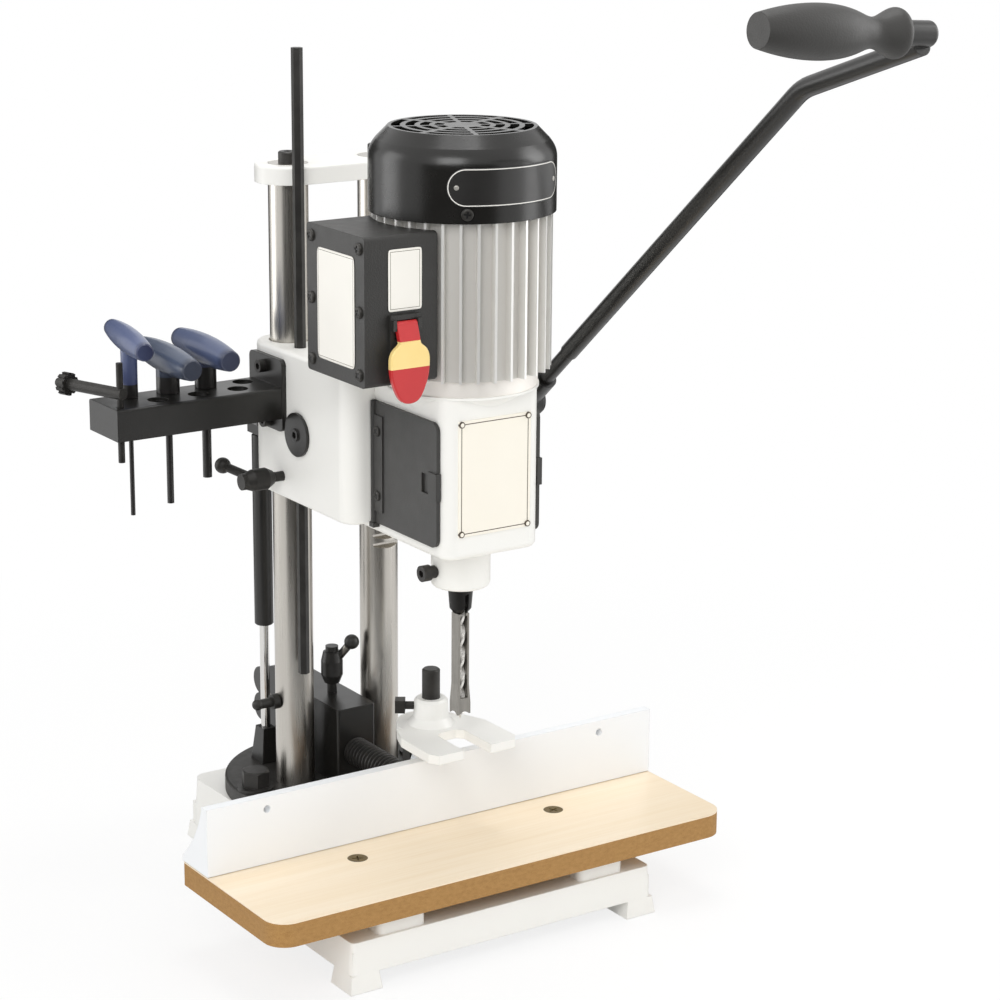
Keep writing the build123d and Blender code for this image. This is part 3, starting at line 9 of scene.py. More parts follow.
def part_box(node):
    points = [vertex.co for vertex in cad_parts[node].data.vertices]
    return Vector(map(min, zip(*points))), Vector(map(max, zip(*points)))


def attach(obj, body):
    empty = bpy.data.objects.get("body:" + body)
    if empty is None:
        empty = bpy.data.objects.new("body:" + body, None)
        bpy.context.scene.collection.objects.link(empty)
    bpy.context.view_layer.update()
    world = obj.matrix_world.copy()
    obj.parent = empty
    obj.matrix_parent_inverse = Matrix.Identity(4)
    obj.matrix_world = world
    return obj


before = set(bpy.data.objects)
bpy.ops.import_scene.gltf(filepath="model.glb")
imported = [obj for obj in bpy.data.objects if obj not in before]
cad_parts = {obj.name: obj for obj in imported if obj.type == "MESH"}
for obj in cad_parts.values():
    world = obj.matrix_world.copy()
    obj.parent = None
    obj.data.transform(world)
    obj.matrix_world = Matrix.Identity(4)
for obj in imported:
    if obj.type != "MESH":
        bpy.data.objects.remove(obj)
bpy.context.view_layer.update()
print("mortiser frame loaded:", len(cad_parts), "nodes")


class Wire:  # a node's socket that takes part in Python maths
    def __init__(self, tree, socket=None):
        self.tree = tree
        self.socket = socket

    def node(self, kind, settings=None, sockets=None, out=0):
        made = self.tree.nodes.new(kind)
        for name, value in (settings or {}).items():
            if name == "stops":
                setStops(made.color_ramp, value)
            else:
                setattr(made, name, value)
        for name, value in (sockets or {}).items():
            if isinstance(value, Wire):
                self.tree.links.new(value.socket, made.inputs[name])
            else:
                made.inputs[name].default_value = value
        return Wire(self.tree, made.outputs[out])

    def maths(self, operation, *values):
        return self.node("ShaderNodeMath", {"operation": operation}, dict(enumerate(values)))

    def __add__(self, other):
        return self.maths("ADD", self, other)

    def __radd__(self, other):
        return self.maths("ADD", other, self)

    def __sub__(self, other):
        return self.maths("SUBTRACT", self, other)

    def __rsub__(self, other):
        return self.maths("SUBTRACT", other, self)

    def __mul__(self, other):
        return self.maths("MULTIPLY", self, other)

    def __rmul__(self, other):
        return self.maths("MULTIPLY", other, self)

    def __truediv__(self, other):
        return self.maths("DIVIDE", self, other)

    def __pow__(self, other):
        return self.maths("POWER", self, other)

    def __gt__(self, other):
        return self.maths("GREATER_THAN", self, other)

    def __lt__(self, other):
        return self.maths("LESS_THAN", self, other)

    def size(self):
        return self.maths("ABSOLUTE", self)

    def lower(self, other):
        return self.maths("MINIMUM", self, other)

    def higher(self, other):
        return self.maths("MAXIMUM", self, other)

    def clamped(self):  # held between 0 and 1
        return self.higher(0.0).lower(1.0)


def setStops(ramp, stops):
    while len(ramp.elements) > 1:
        ramp.elements.remove(ramp.elements[-1])
    ramp.elements[0].position, ramp.elements[0].color = stops[0]
    for place, colour in stops[1:]:
        ramp.elements.new(place).color = colour


socketNames = {"colour": "Base Color", "metal": "Metallic", "rough": "Roughness", "coat": "Coat Weight",
               "coatRough": "Coat Roughness", "gloss": "Specular IOR Level", "normal": "Normal"}


class Finish:  # one material with its shader, its coordinates and a few stock patterns
    def __init__(self, name, **fixed):
        self.material = bpy.data.materials.new(name)
        self.material.use_nodes = True
        self.tree = self.material.node_tree
        self.shader = self.tree.nodes["Principled BSDF"]
        self.wire = Wire(self.tree)
        self.place = self.wire.node("ShaderNodeTexCoord", out="Object")
        for socket, value in fixed.items():
            self.shader.inputs[socketNames[socket]].default_value = value

    def feed(self, socket, wire):
        self.tree.links.new(wire.socket, self.shader.inputs[socketNames[socket]])

    def axis(self, letter):
        return self.wire.node("ShaderNodeSeparateXYZ", sockets={"Vector": self.place}, out=letter)

    def mark(self, name):  # a number kept on the piece's own vertices
        return self.wire.node("ShaderNodeAttribute", {"attribute_name": name}, out="Fac")

    def noise(self, scale, detail=2.0, roughness=0.5, at=None):
        sockets = {"Vector": at or self.place, "Scale": scale, "Detail": detail, "Roughness": roughness}
        return self.wire.node("ShaderNodeTexNoise", sockets=sockets)

    def streaks(self, scales, detail=2.0, roughness=0.5):  # noise with a scale of its own along each axis
        drawn = self.wire.node("ShaderNodeMapping", sockets={"Vector": self.place, "Scale": scales})
        return self.noise(1.0, detail, roughness, drawn)

    def mix(self, factor, low, high):
        return self.wire.node("ShaderNodeMix", {"data_type": "RGBA"}, {0: factor, 6: low, 7: high}, out=2)

    def ramp(self, factor, stops):
        return self.wire.node("ShaderNodeValToRGB", {"stops": stops}, {"Fac": factor})

    def bump(self, height, depth, strength, edge=0.0):  # edge: the radius that sharp edges look rounded by
        sockets = {"Height": height, "Distance": depth, "Strength": strength}
        if edge:
            sockets["Normal"] = self.wire.node("ShaderNodeBevel", {"samples": 4}, {"Radius": edge})
        self.feed("normal", self.wire.node("ShaderNodeBump", sockets=sockets))


def rgb(red, green, blue):  # screen colour 0-255 to linear
    part = np.array([red, green, blue]) / 255.0
    linear = np.where(part <= 0.04045, part / 12.92, ((part + 0.055) / 1.055) ** 2.4)
    return (*[float(v) for v in linear], 1.0)


def dimmed(colour, share):
    return (*[share * v for v in colour[:3]], 1.0)


# Finishes

def powderCoat(name, colour, deeper, depth, peel=620.0, rough=0.34, edge=0.0007):
    look = Finish(name, gloss=0.5)
    look.feed("colour", look.mix(look.noise(14.0, detail=4.0), colour, deeper))
    look.feed("rough", rough + 0.12 * look.noise(60.0, detail=3.0))
    look.bump(look.noise(peel), depth, strength=0.35, edge=edge)
    return look.material


def blackOxide(name, colour, worn, rough=0.36, metal=0.6):
    look = Finish(name)
    rub = look.noise(45.0, detail=6.0, roughness=0.62)
    look.feed("colour", look.mix(rub, colour, worn))
    look.feed("metal", metal * (1.15 - rub))
    look.feed("rough", rough + 0.18 * look.noise(160.0, detail=3.0))
    look.bump(look.noise(900.0, detail=3.0), depth=0.0001, strength=0.3, edge=0.0004)
    return look.material


def groundSteel(name, colour, shade, along, rough, streak=0.5):
    look = Finish(name, metal=1.0)
    lines = look.streaks(along)
    cloud = look.noise(11.0, detail=3.0)
    look.feed("colour", look.mix(streak * lines + (1 - streak) * cloud, shade, colour))
    look.feed("rough", rough + 0.12 * lines)
    look.bump(lines, depth=0.00003, strength=0.2, edge=0.0004)
    return look.material


def castAlloy(name, colour, shade, rough):
    look = Finish(name)
    grain = look.noise(520.0, detail=3.0, roughness=0.6)
    cloud = look.noise(18.0, detail=4.0)
    look.feed("colour", look.mix(cloud, colour, shade))
    look.feed("metal", 0.3 + 0.15 * cloud)
    look.feed("rough", rough + 0.16 * grain)
    look.bump(grain, depth=0.0002, strength=0.35, edge=0.0004)
    return look.material


# deep: the fins' depth; rootShade: painted shade for the fin roots; crest: the alloy's own colour
motorFins = {"deep": 0.008, "crest": rgb(243, 242, 239), "rootShade": rgb(208, 205, 199)}


def finnedAlloy(name):
    # bare casting with painted shade: its colour darkens from the fin crests down to the roots, by the
    # distance from the motor's axis
    look = Finish(name)
    grain = look.noise(520.0, detail=3.0, roughness=0.6)
    axisAt = middleOf("fan_cover")
    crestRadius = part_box("motor_housing")[1].x - axisAt.x
    fromAxis = ((look.axis("X") - axisAt.x) ** 2.0 + (look.axis("Y") - axisAt.y) ** 2.0) ** 0.5
    share = ((fromAxis - (crestRadius - motorFins["deep"])) / motorFins["deep"]).clamped()
    # painted shade, deeper towards the fin roots
    tone = 0.85 * share + 0.15 * look.noise(18.0, detail=4.0)
    look.feed("colour", look.mix(tone, motorFins["rootShade"], motorFins["crest"]))
    look.feed("metal", 0.35 + 0.2 * share)
    look.feed("rough", 0.34 + 0.16 * grain)
    look.bump(grain, depth=0.0002, strength=0.35, edge=0.0004)
    return look.material


def middleOf(node):
    low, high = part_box(node)
    return (low + high) / 2


def grainedPlastic(name, colour, lighter, rough, grain=1100.0, depth=0.0002):
    look = Finish(name)
    cells = look.wire.node("ShaderNodeTexVoronoi", {"feature": "SMOOTH_F1"},
                           {"Vector": look.place, "Scale": grain, "Smoothness": 0.6})
    look.feed("colour", look.mix(look.noise(30.0, detail=4.0), colour, lighter))
    look.feed("rough", rough + 0.14 * look.noise(90.0, detail=3.0))
    look.bump(cells, depth, strength=0.4, edge=0.0005)
    return look.material


def smoothPlastic(name, colour, deeper, rough, coat):
    look = Finish(name, coat=coat, coatRough=0.12)
    look.feed("colour", look.mix(look.noise(24.0, detail=3.0), colour, deeper))
    look.feed("rough", rough + 0.12 * look.noise(70.0, detail=3.0))
    look.bump(look.noise(420.0), depth=0.00012, strength=0.25, edge=0.0004)
    return look.material


def mapleFace(name):
    # pale wood print: slow waves, bands and fine flecks, all drawn out along the table
    look = Finish(name, coat=0.25, coatRough=0.25)
    wander = look.streaks((3.0, 26.0, 26.0), detail=3.0, roughness=0.55)
    flecks = look.streaks((14.0, 520.0, 520.0), detail=5.0, roughness=0.62)
    bands = look.streaks((5.0, 130.0, 130.0), detail=4.0, roughness=0.6)
    stops = [(0.34, rgb(230, 207, 173)), (0.5, rgb(241, 222, 192)), (0.68, rgb(246, 230, 205))]
    look.feed("colour", look.ramp(0.45 * wander + 0.35 * bands + 0.35 * flecks, stops))
    look.feed("rough", 0.34 + 0.16 * flecks)
    look.bump(flecks, depth=0.0001, strength=0.25)
    return look.material


def fibreEdge(name):
    # sawn fibreboard: fine specks over soft clouds
    look = Finish(name)
    specks = look.streaks((2100.0, 2100.0, 3200.0), detail=5.0, roughness=0.75)
    cloud = look.streaks((240.0, 240.0, 420.0), detail=3.0, roughness=0.6)
    stops = [(0.3, rgb(132, 92, 46)), (0.52, rgb(172, 130, 74)), (0.72, rgb(190, 150, 92))]
    look.feed("colour", look.ramp(0.72 * specks + 0.28 * cloud, stops))
    look.feed("rough", 0.72 + 0.2 * specks)
    look.bump(specks, depth=0.0002, strength=0.4)
    return look.material


keyLook = {"steel": rgb(30, 28, 27), "endRun": 0.009,  # the cross handles darken over this length
           "barRise": 0.035}  # the stored chuck key's bar stands this far above the tool holder
keyTints = {
    "key_small": {"finish": "small_key_colours", "blueRise": 0.011, "fade": 0.03,
                  "light": rgb(88, 100, 136), "dark": rgb(58, 67, 106), "end": rgb(36, 42, 72)},
    "key_middle": {"finish": "middle_key_colours", "blueRise": 0.0135, "fade": 0.014,
                   "light": rgb(80, 91, 112), "dark": rgb(42, 49, 68), "end": rgb(38, 44, 60)},
    "key_large": {"finish": "large_key_colours", "blueRise": 0.0175, "fade": 0.014,
                  "light": rgb(82, 94, 126), "dark": rgb(42, 49, 76), "end": rgb(36, 42, 66)},
}


def keyColours(node, tint):
    # black steel up to a rise above the tool holder, then blue plastic that gets lighter over the fade
    # height; the ends of the cross handle darken over the last few millimetres
    look = Finish(tint["finish"], coat=0.25, coatRough=0.12)
    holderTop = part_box("chuck_key")[1].z - keyLook["barRise"]
    rise = (look.axis("Z") - (holderTop + tint["blueRise"])) / tint["fade"]
    low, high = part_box(node)
    toEnd = (high.y - low.y) / 2 - (look.axis("Y") - (low.y + high.y) / 2).size()
    tone = 0.7 * rise.clamped() + 0.3 * look.noise(70.0, detail=3.0)
    blue = look.mix(tone, tint["dark"], tint["light"])
    capped = look.mix((toEnd / keyLook["endRun"]).clamped(), tint["end"], blue)
    look.feed("colour", look.mix(rise > 0.0, keyLook["steel"], capped))
    look.feed("rough", 0.3 + 0.2 * look.noise(120.0, detail=3.0))
    look.bump(look.noise(260.0), depth=0.0002, strength=0.25, edge=0.0006)
    return look.material


paddleBand = {"from": 0.0265, "to": 0.0462}  # the yellow stretch, above the paddle's lower end


def paddleRedYellow(name):
    look = Finish(name, coat=0.25, coatRough=0.15)
    height = look.axis("Z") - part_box("switch_paddle")[0].z
    band = (height > paddleBand["from"]) * (height < paddleBand["to"])
    shade = look.noise(40.0, detail=3.0)
    red = look.mix(shade, rgb(202, 44, 46), rgb(188, 36, 40))
    yellow = look.mix(shade, rgb(251, 224, 152), rgb(246, 214, 134))
    look.feed("colour", look.mix(band, red, yellow))
    look.feed("rough", 0.34 + 0.12 * shade)
    look.bump(look.noise(520.0), depth=0.00012, strength=0.3, edge=0.0005)
    return look.material


chiselSteel = {"bareRun": 0.0818}  # from the cutting edge up to the collar


def chiselColours(name):
    # scraped grey steel with a black oxide collar above the bare run
    look = Finish(name)
    lines = look.streaks((900.0, 900.0, 40.0), detail=4.0, roughness=0.6)
    black = look.axis("Z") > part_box("chisel")[0].z + chiselSteel["bareRun"]
    steel = look.mix(lines, rgb(118, 115, 110), rgb(164, 161, 155))
    look.feed("colour", look.mix(black, steel, rgb(32, 31, 30)))
    look.feed("metal", 0.95 - 0.45 * black)
    look.feed("rough", 0.32 + 0.14 * lines)
    look.bump(lines, depth=0.0001, strength=0.3, edge=0.0003)
    return look.material


fenceLock = {"hubRadius": 0.0092, "hubMargin": 0.0013, "ballRadius": 0.0063, "ballMargin": 0.0003}


def lockColours(name):
    # black hub at the box's left rear, black ball at its right, front and top, light steel arm between
    look = Finish(name)
    x, y, z = (look.axis(letter) for letter in "XYZ")
    low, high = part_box("fence_lock")
    hub, ball = fenceLock["hubRadius"], fenceLock["ballRadius"]
    fromHub = (x - (low.x + hub)) ** 2.0 + (y - (high.y - hub)) ** 2.0
    fromBall = (x - (high.x - ball)) ** 2.0 + (y - (low.y + ball)) ** 2.0 + (z - (high.z - ball)) ** 2.0
    pastHub = fromHub > (hub + fenceLock["hubMargin"]) ** 2
    bare = pastHub * (fromBall > (ball + fenceLock["ballMargin"]) ** 2)
    rub = look.noise(120.0, detail=4.0)
    steel = look.mix(rub, rgb(150, 147, 141), rgb(112, 109, 104))
    black = look.mix(rub, rgb(30, 29, 28), rgb(46, 45, 43))
    look.feed("colour", look.mix(bare, black, steel))
    look.feed("metal", 0.15 + 0.75 * bare)
    look.feed("rough", 0.3 + 0.14 * rub)
    look.bump(rub, depth=0.00005, strength=0.3, edge=0.0004)
    return look.material


plateFrame = {"inset": 0.0024, "line": 0.0007, "rivet": 0.0023, "ringFrom": 0.0016, "ringTo": 0.00251}


def framedPlate(name):
    # blank plate: a thin dark line joins the four corner rivets, each with a dark ring round it
    look = Finish(name)
    low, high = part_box("name_plate")
    middle = (low + high) / 2
    half = (high - low) / 2
    across = half.x - plateFrame["inset"] - (look.axis("X") - middle.x).size()
    along = half.z - plateFrame["inset"] - (look.axis("Z") - middle.z).size()
    corner = (across * across + along * along) ** 0.5
    frameLine = (across.lower(along).size() < plateFrame["line"] / 2) * (corner > plateFrame["rivet"])
    ring = (corner > plateFrame["ringFrom"]) * (corner < plateFrame["ringTo"])
    face = look.mix(look.noise(20.0, detail=3.0), rgb(250, 245, 233), rgb(245, 239, 225))
    look.feed("colour", look.mix(frameLine.higher(ring), face, rgb(70, 56, 42)))
    look.feed("rough", 0.26 + 0.12 * look.noise(50.0, detail=3.0))
    return look.material


def printedLabel(name, face, ink, inset, line):
    # blank sticker: one thin line runs at a steady distance from its rim
    look = Finish(name, coat=0.2, coatRough=0.2)
    depth = look.mark("inset")
    border = (depth > inset) * (depth < inset + line)
    paper = look.mix(look.noise(30.0, detail=3.0), face, dimmed(face, 0.94))
    look.feed("colour", look.mix(border, paper, ink))
    look.feed("rough", 0.3 + 0.14 * look.noise(80.0, detail=3.0))
    look.bump(look.noise(700.0), depth=0.00004, strength=0.3)
    return look.material


def screwFace(name, colour, worn, pitShade):
    # screw or rivet head, with painted shade: darkest at the bottom of its cross
    look = Finish(name)
    rub = look.noise(200.0, detail=4.0)
    look.feed("colour", look.mix(look.mark("dip"), look.mix(rub, colour, worn), pitShade))
    look.feed("metal", 0.5 - 0.4 * look.mark("dip"))
    look.feed("rough", 0.34 + 0.16 * rub)
    look.bump(rub, depth=0.00005, strength=0.3)
    return look.material


cream = powderCoat("cream_coat", rgb(245, 244, 240), rgb(241, 240, 235), depth=0.00014)
fenceCoat = powderCoat("fence_coat", rgb(247, 249, 251), rgb(244, 246, 248), depth=0.00014)
blackCoat = powderCoat("black_coat", rgb(25, 24, 22), rgb(33, 32, 30), depth=0.00016, peel=760.0, rough=0.25,
                       edge=0.001)
motorBlack = powderCoat("motor_black", rgb(22, 21, 19), rgb(28, 27, 25), depth=0.0001, peel=820.0, rough=0.2,
                        edge=0.0005)
oxide = blackOxide("black_oxide", rgb(30, 29, 28), rgb(58, 56, 53))
ironBlack = blackOxide("iron_black", rgb(32, 31, 29), rgb(54, 52, 49), rough=0.42, metal=0.4)
screwBrass = blackOxide("dull_brass", rgb(122, 104, 62), rgb(80, 66, 36), rough=0.34, metal=0.9)
coreIron = blackOxide("core_iron", rgb(120, 110, 98), rgb(80, 72, 64), rough=0.5, metal=0.7)
column = groundSteel("ground_column", rgb(206, 202, 195), rgb(176, 172, 165), along=(900.0, 900.0, 14.0),
                     rough=0.23, streak=0.3)
gearSteel = groundSteel("gear_steel", rgb(176, 172, 165), rgb(120, 116, 110), along=(300.0, 300.0, 300.0),
                        rough=0.3)
chromeRod = groundSteel("chrome_rod", rgb(226, 225, 222), rgb(205, 203, 200), along=(300.0, 300.0, 20.0),
                        rough=0.08)
bronze = groundSteel("bearing_bronze", rgb(190, 150, 92), rgb(150, 112, 62), along=(260.0, 260.0, 60.0),
                     rough=0.3)
# painted light: the auger's near-white colour stands in for the light its flutes catch inside the shadowed
# slot
augerSteel = castAlloy("auger_steel", rgb(246, 244, 240), rgb(214, 211, 206), rough=0.26)
bellAlloy = castAlloy("bell_alloy", rgb(246, 242, 236), rgb(236, 232, 226), rough=0.46)
finAlloy = finnedAlloy("fin_alloy")
lock = lockColours("lock_colours")
doorPlastic = grainedPlastic("door_plastic", rgb(48, 47, 46), rgb(56, 55, 53), rough=0.42)
boxPlastic = grainedPlastic("box_plastic", rgb(40, 39, 37), rgb(48, 47, 45), rough=0.4, grain=900.0,
                            depth=0.00025)
gripRubber = grainedPlastic("grip_rubber", rgb(44, 43, 41), rgb(54, 53, 51), rough=0.44, grain=700.0)
knobPlastic = smoothPlastic("knob_plastic", rgb(32, 31, 30), rgb(42, 41, 40), rough=0.36, coat=0.15)
maple = mapleFace("maple_face")
fibre = fibreEdge("fibre_edge")
paddle = paddleRedYellow("paddle_colours")
keyLooks = {node: keyColours(node, tint) for node, tint in keyTints.items()}
chisel = chiselColours("chisel_colours")
plateCream = framedPlate("plate_cream")
labelPaper = printedLabel("label_paper", rgb(247, 244, 236), rgb(96, 84, 70), inset=0.0016, line=0.0004)
badgeBlack = printedLabel("badge_black", rgb(36, 35, 34), rgb(236, 234, 228), inset=0.0006, line=0.0007)
# the last colour is painted shade for the bottom of each cross
screwBlack = screwFace("screw_black", rgb(44, 43, 41), rgb(66, 64, 61), rgb(12, 12, 12))
rivetPale = screwFace("rivet_pale", rgb(196, 193, 187), rgb(150, 147, 141), rgb(30, 29, 28))

wears = {
    cream: ["base", "head_casting", "column_cap", "holddown"],
    fenceCoat: ["fence"],
    blackCoat: ["fence_block", "tool_holder", "gas_bracket", "gas_foot", "gas_cylinder", "lever_arm",
                "lever_hub", "shaft_disc"],
    motorBlack: ["fan_cover"],
    ironBlack: ["column_flange"],
    oxide: ["flange_bolts", "cap_screws", "head_screws", "chisel_screw", "post_screw", "holddown_screw",
            "depth_lock", "column_pin", "chuck_key", "holddown_post", "fence_rack", "depth_rod"],
    lock: ["fence_lock"],
    column: ["column_left", "column_right"],
    gearSteel: ["pinion_shaft", "fence_pinion", "rotor", "motor_bearings", "chuck"],
    chisel: ["chisel"],
    augerSteel: ["auger"],
    chromeRod: ["gas_rod"],
    bronze: ["guide_bushes"],
    screwBrass: ["table_screws"],
    finAlloy: ["motor_housing"],
    bellAlloy: ["motor_bell", "motor_shield"],
    coreIron: ["motor_stator"],
    doorPlastic: ["door_left", "door_right", "door_hinges"],
    boxPlastic: ["switch_case", "switch_cover", "switch_body"],
    gripRubber: ["lever_grip"],
    knobPlastic: ["fence_knob", "fan"],
    paddle: ["switch_paddle"],
    **{look: [node] for node, look in keyLooks.items()},
    plateCream: ["name_plate"],
    maple: ["table_laminate"],
    fibre: ["table_core"],
}
for material, names in wears.items():
    for name in names:
        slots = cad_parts[name].data.materials
        slots.clear()
        slots.append(material)
print("finishes on", sum(len(names) for names in wears.values()), "nodes")


# Small pieces that the frame leaves to the finish: blank labels, the motor badge and screw heads

def quads(rows, columns):  # faces of a grid whose last column meets its first
    column = np.arange(columns)
    ahead = (column + 1) % columns
    inner = np.arange(rows - 1)[:, None] * columns
    outer = inner + columns
    return np.stack([inner + column, inner + ahead, outer + ahead, outer + column], -1).reshape(-1, 4)


def skin(name, patches, marks, body, material, thick=0.0):
    # patches: rings of points from the middle outwards; marks: one number for each of those points
    count, rows, columns, _ = patches.shape
    faces = quads(rows, columns)[None] + np.arange(count)[:, None, None] * rows * columns
    mesh = bpy.data.meshes.new(name)
    mesh.from_pydata(patches.reshape(-1, 3).tolist(), [], faces.reshape(-1, 4).tolist())
    for label, values in marks.items():
        kept = mesh.attributes.new(label, "FLOAT", "POINT")
        kept.data.foreach_set("value", values.ravel().astype(np.float32))
    work = bmesh.new()
    work.from_mesh(mesh)
    bmesh.ops.remove_doubles(work, verts=work.verts, dist=1e-7)
    work.to_mesh(mesh)
    work.free()
    mesh.shade_smooth()
    mesh.materials.append(material)
    piece = bpy.data.objects.new(name, mesh)
    bpy.context.scene.collection.objects.link(piece)
    if thick:
        wall = piece.modifiers.new("thickness", "SOLIDIFY")
        wall.thickness = thick
        wall.offset = -1.0
    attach(piece, body)


labelCut = {"squareness": 18.0, "rings": 40, "spokes": 160, "thick": 0.0003}
labels = {  # middle: along the face and up, from the low corner of the node's box
    "switch_side_label": {"node": "switch_cover", "face": "X", "middle": (0.0396, 0.053),
                          "half": (0.0262, 0.0412)},
    "switch_front_label": {"node": "switch_case", "face": "Y", "middle": (0.0312, 0.077),
                           "half": (0.0141, 0.0226)},
}


def blankLabel(name, label):
    # sheet scaled from its middle to a rim |across/a|^n + |up/b|^n = 1, on the node's low X or low Y face
    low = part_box(label["node"])[0]
    share = np.linspace(0, 1, labelCut["rings"])[:, None]
    turn = np.linspace(0, 2 * np.pi, labelCut["spokes"], endpoint=False)[None]
    power = 2 / labelCut["squareness"]
    halfAcross, halfUp = label["half"]
    across = share * halfAcross * np.sign(np.cos(turn)) * np.abs(np.cos(turn)) ** power
    up = share * halfUp * np.sign(np.sin(turn)) * np.abs(np.sin(turn)) ** power
    inset = np.minimum(halfAcross - np.abs(across), halfUp - np.abs(up))
    flat = np.zeros_like(across)
    middleAcross, middleUp = label["middle"]
    if label["face"] == "X":  # seen from the left, depth runs to the left
        points = [low.x - labelCut["thick"] + flat, low.y + middleAcross - across, low.z + middleUp + up]
    else:
        points = [low.x + middleAcross + across, low.y - labelCut["thick"] + flat, low.z + middleUp + up]
    skin(name, np.stack(points, -1)[None], {"inset": inset}, "head", labelPaper, labelCut["thick"])


badge = {"halfRun": 0.0375, "halfHeight": 0.014, "rise": 0.0265, "straight": 48, "cap": 40, "rings": 24,
         "thick": 0.0005, "rivetRun": 0.0445, "rivetRadius": 0.0019, "rivetHeight": 0.0011}


def motorBadge():
    # stadium: points at a share of the cap radius from a middle line, bent round the fan cover
    low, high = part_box("fan_cover")
    line = np.linspace(-badge["halfRun"], badge["halfRun"], badge["straight"])
    bend = np.linspace(-np.pi / 2, np.pi / 2, badge["cap"] + 2)[1:-1]
    ends = np.full(badge["cap"], badge["halfRun"])
    down = np.full_like(line, -np.pi / 2)
    middle = np.concatenate([line, ends, line[::-1], -ends])
    angle = np.concatenate([down, bend, -down, bend + np.pi])
    share = np.linspace(0, 1, badge["rings"])[:, None]
    run = middle + share * badge["halfHeight"] * np.cos(angle)
    up = share * badge["halfHeight"] * np.sin(angle)
    inset = badge["halfHeight"] * (1 - share) + 0 * run
    points = onCover(run, low.z + badge["rise"] + up, badge["thick"], low, high)
    skin("motor_badge", points[None], {"inset": inset}, "head", badgeBlack, badge["thick"])


def onCover(run, height, proud, low, high):
    # point on the round fan cover, from an arc length counted from its front and a height
    radius = (high.x - low.x) / 2
    x = (radius + proud) * np.sin(run / radius)
    y = (low.y + high.y) / 2 - (radius + proud) * np.cos(run / radius)
    return np.stack([x + (low.x + high.x) / 2, y, height + 0 * run], -1)


screwHead = {"squareness": 4.0, "rings": 30, "spokes": 72, "slotHalf": 0.17, "slotReach": 0.58, "soft": 0.07,
             "slotDepth": 0.28}


def headPatch(centre, outward, turn, radius, height, slotted=True):
    # pan head: height times (1 - (r/R)^n)^(1/n), less a dip where either arm of a cross lies
    outward = Vector(outward).normalized()
    up = Vector((0, 0, 1))
    side = up.cross(outward).normalized()
    share = np.linspace(0, 1, screwHead["rings"])[:, None]
    angle = np.linspace(0, 2 * np.pi, screwHead["spokes"], endpoint=False)[None]
    x = share * np.cos(angle)
    y = share * np.sin(angle)
    dome = (1 - share ** screwHead["squareness"]) ** (1 / screwHead["squareness"]) + 0 * x
    armX = x * math.cos(turn) + y * math.sin(turn)
    armY = y * math.cos(turn) - x * math.sin(turn)
    narrow = np.minimum(np.abs(armX), np.abs(armY))
    dip = fallsAt(narrow, screwHead["slotHalf"]) * fallsAt(share, screwHead["slotReach"]) * slotted
    rise = height * (dome - screwHead["slotDepth"] * dip)
    points = [c + radius * (x * s + y * u) + rise * o for c, s, u, o in zip(centre, side, up, outward)]
    return np.stack(points, -1), dip


def fallsAt(value, edge):  # 1 inside the edge, 0 outside, straight fall between
    return np.clip((edge - value) / screwHead["soft"] + 0.5, 0, 1)


def screwSet(name, places, radius, height, body, material, slotted=True):
    # one piece of several heads; each place gives a centre, an outward way and the turn of its cross
    made = [headPatch(centre, outward, turn, radius, height, slotted) for centre, outward, turn in places]
    patches = np.stack([points for points, dip in made])
    skin(name, patches, {"dip": np.stack([dip for points, dip in made])}, body, material)


coverScrews = {"radius": 0.0046, "height": 0.0023, "edgeIn": 0.007, "endIn": 0.009, "levels": 3,
               "shellRise": 0.007, "shellAngles": (-120.0, 0.0, 120.0), "boxTurn": 0.3, "shellTurn": 0.4,
               "turnPerHeight": 7.0, "turnPerDepth": 20.0}  # turns in radians, so no two crosses lie alike


def screwsOnCovers():
    low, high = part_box("switch_cover")
    levels = np.linspace(low.z + coverScrews["endIn"], high.z - coverScrews["endIn"], coverScrews["levels"])
    places = []
    for level in levels:
        for y in (low.y + coverScrews["edgeIn"], high.y - coverScrews["edgeIn"]):
            turn = coverScrews["boxTurn"] + coverScrews["turnPerHeight"] * level
            turn += coverScrews["turnPerDepth"] * y
            places.append(((low.x, y, level), (-1, 0, 0), turn))
    low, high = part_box("fan_cover")
    radius = (high.x - low.x) / 2
    axisY = (low.y + high.y) / 2
    for degrees in coverScrews["shellAngles"]:
        angle = math.radians(degrees)
        way = (math.cos(angle), math.sin(angle), 0)
        place = (radius * way[0], axisY + radius * way[1], low.z + coverScrews["shellRise"])
        places.append((place, way, coverScrews["shellTurn"] + angle))
    screwSet("cover_screw_heads", places, coverScrews["radius"], coverScrews["height"], "head",
             screwBlack)


doorScrews = {"radius": 0.0041, "height": 0.0017, "fromPin": 0.0072, "endIn": 0.0225,
              "stripSunk": 0.0012,  # hinge strip lies this far below the door's outermost face
              "knuckleBack": 0.0027,  # hinge knuckle reaches this far behind the pin
              "turn": 0.5, "turnPerHeight": 9.0}


def screwsOnDoors():
    for node, body, way in (("door_left", "left_door", -1), ("door_right", "right_door", 1)):
        low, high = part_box(node)
        strip = low.x + doorScrews["stripSunk"] if way < 0 else high.x - doorScrews["stripSunk"]
        y = high.y - doorScrews["knuckleBack"] - doorScrews["fromPin"]
        places = []
        for level in (low.z + doorScrews["endIn"], high.z - doorScrews["endIn"]):
            turn = doorScrews["turn"] + doorScrews["turnPerHeight"] * level
            places.append(((strip, y, level), (way, 0, 0), turn))
        screwSet(node + "_screws", places, doorScrews["radius"], doorScrews["height"], body,
                 screwBlack)


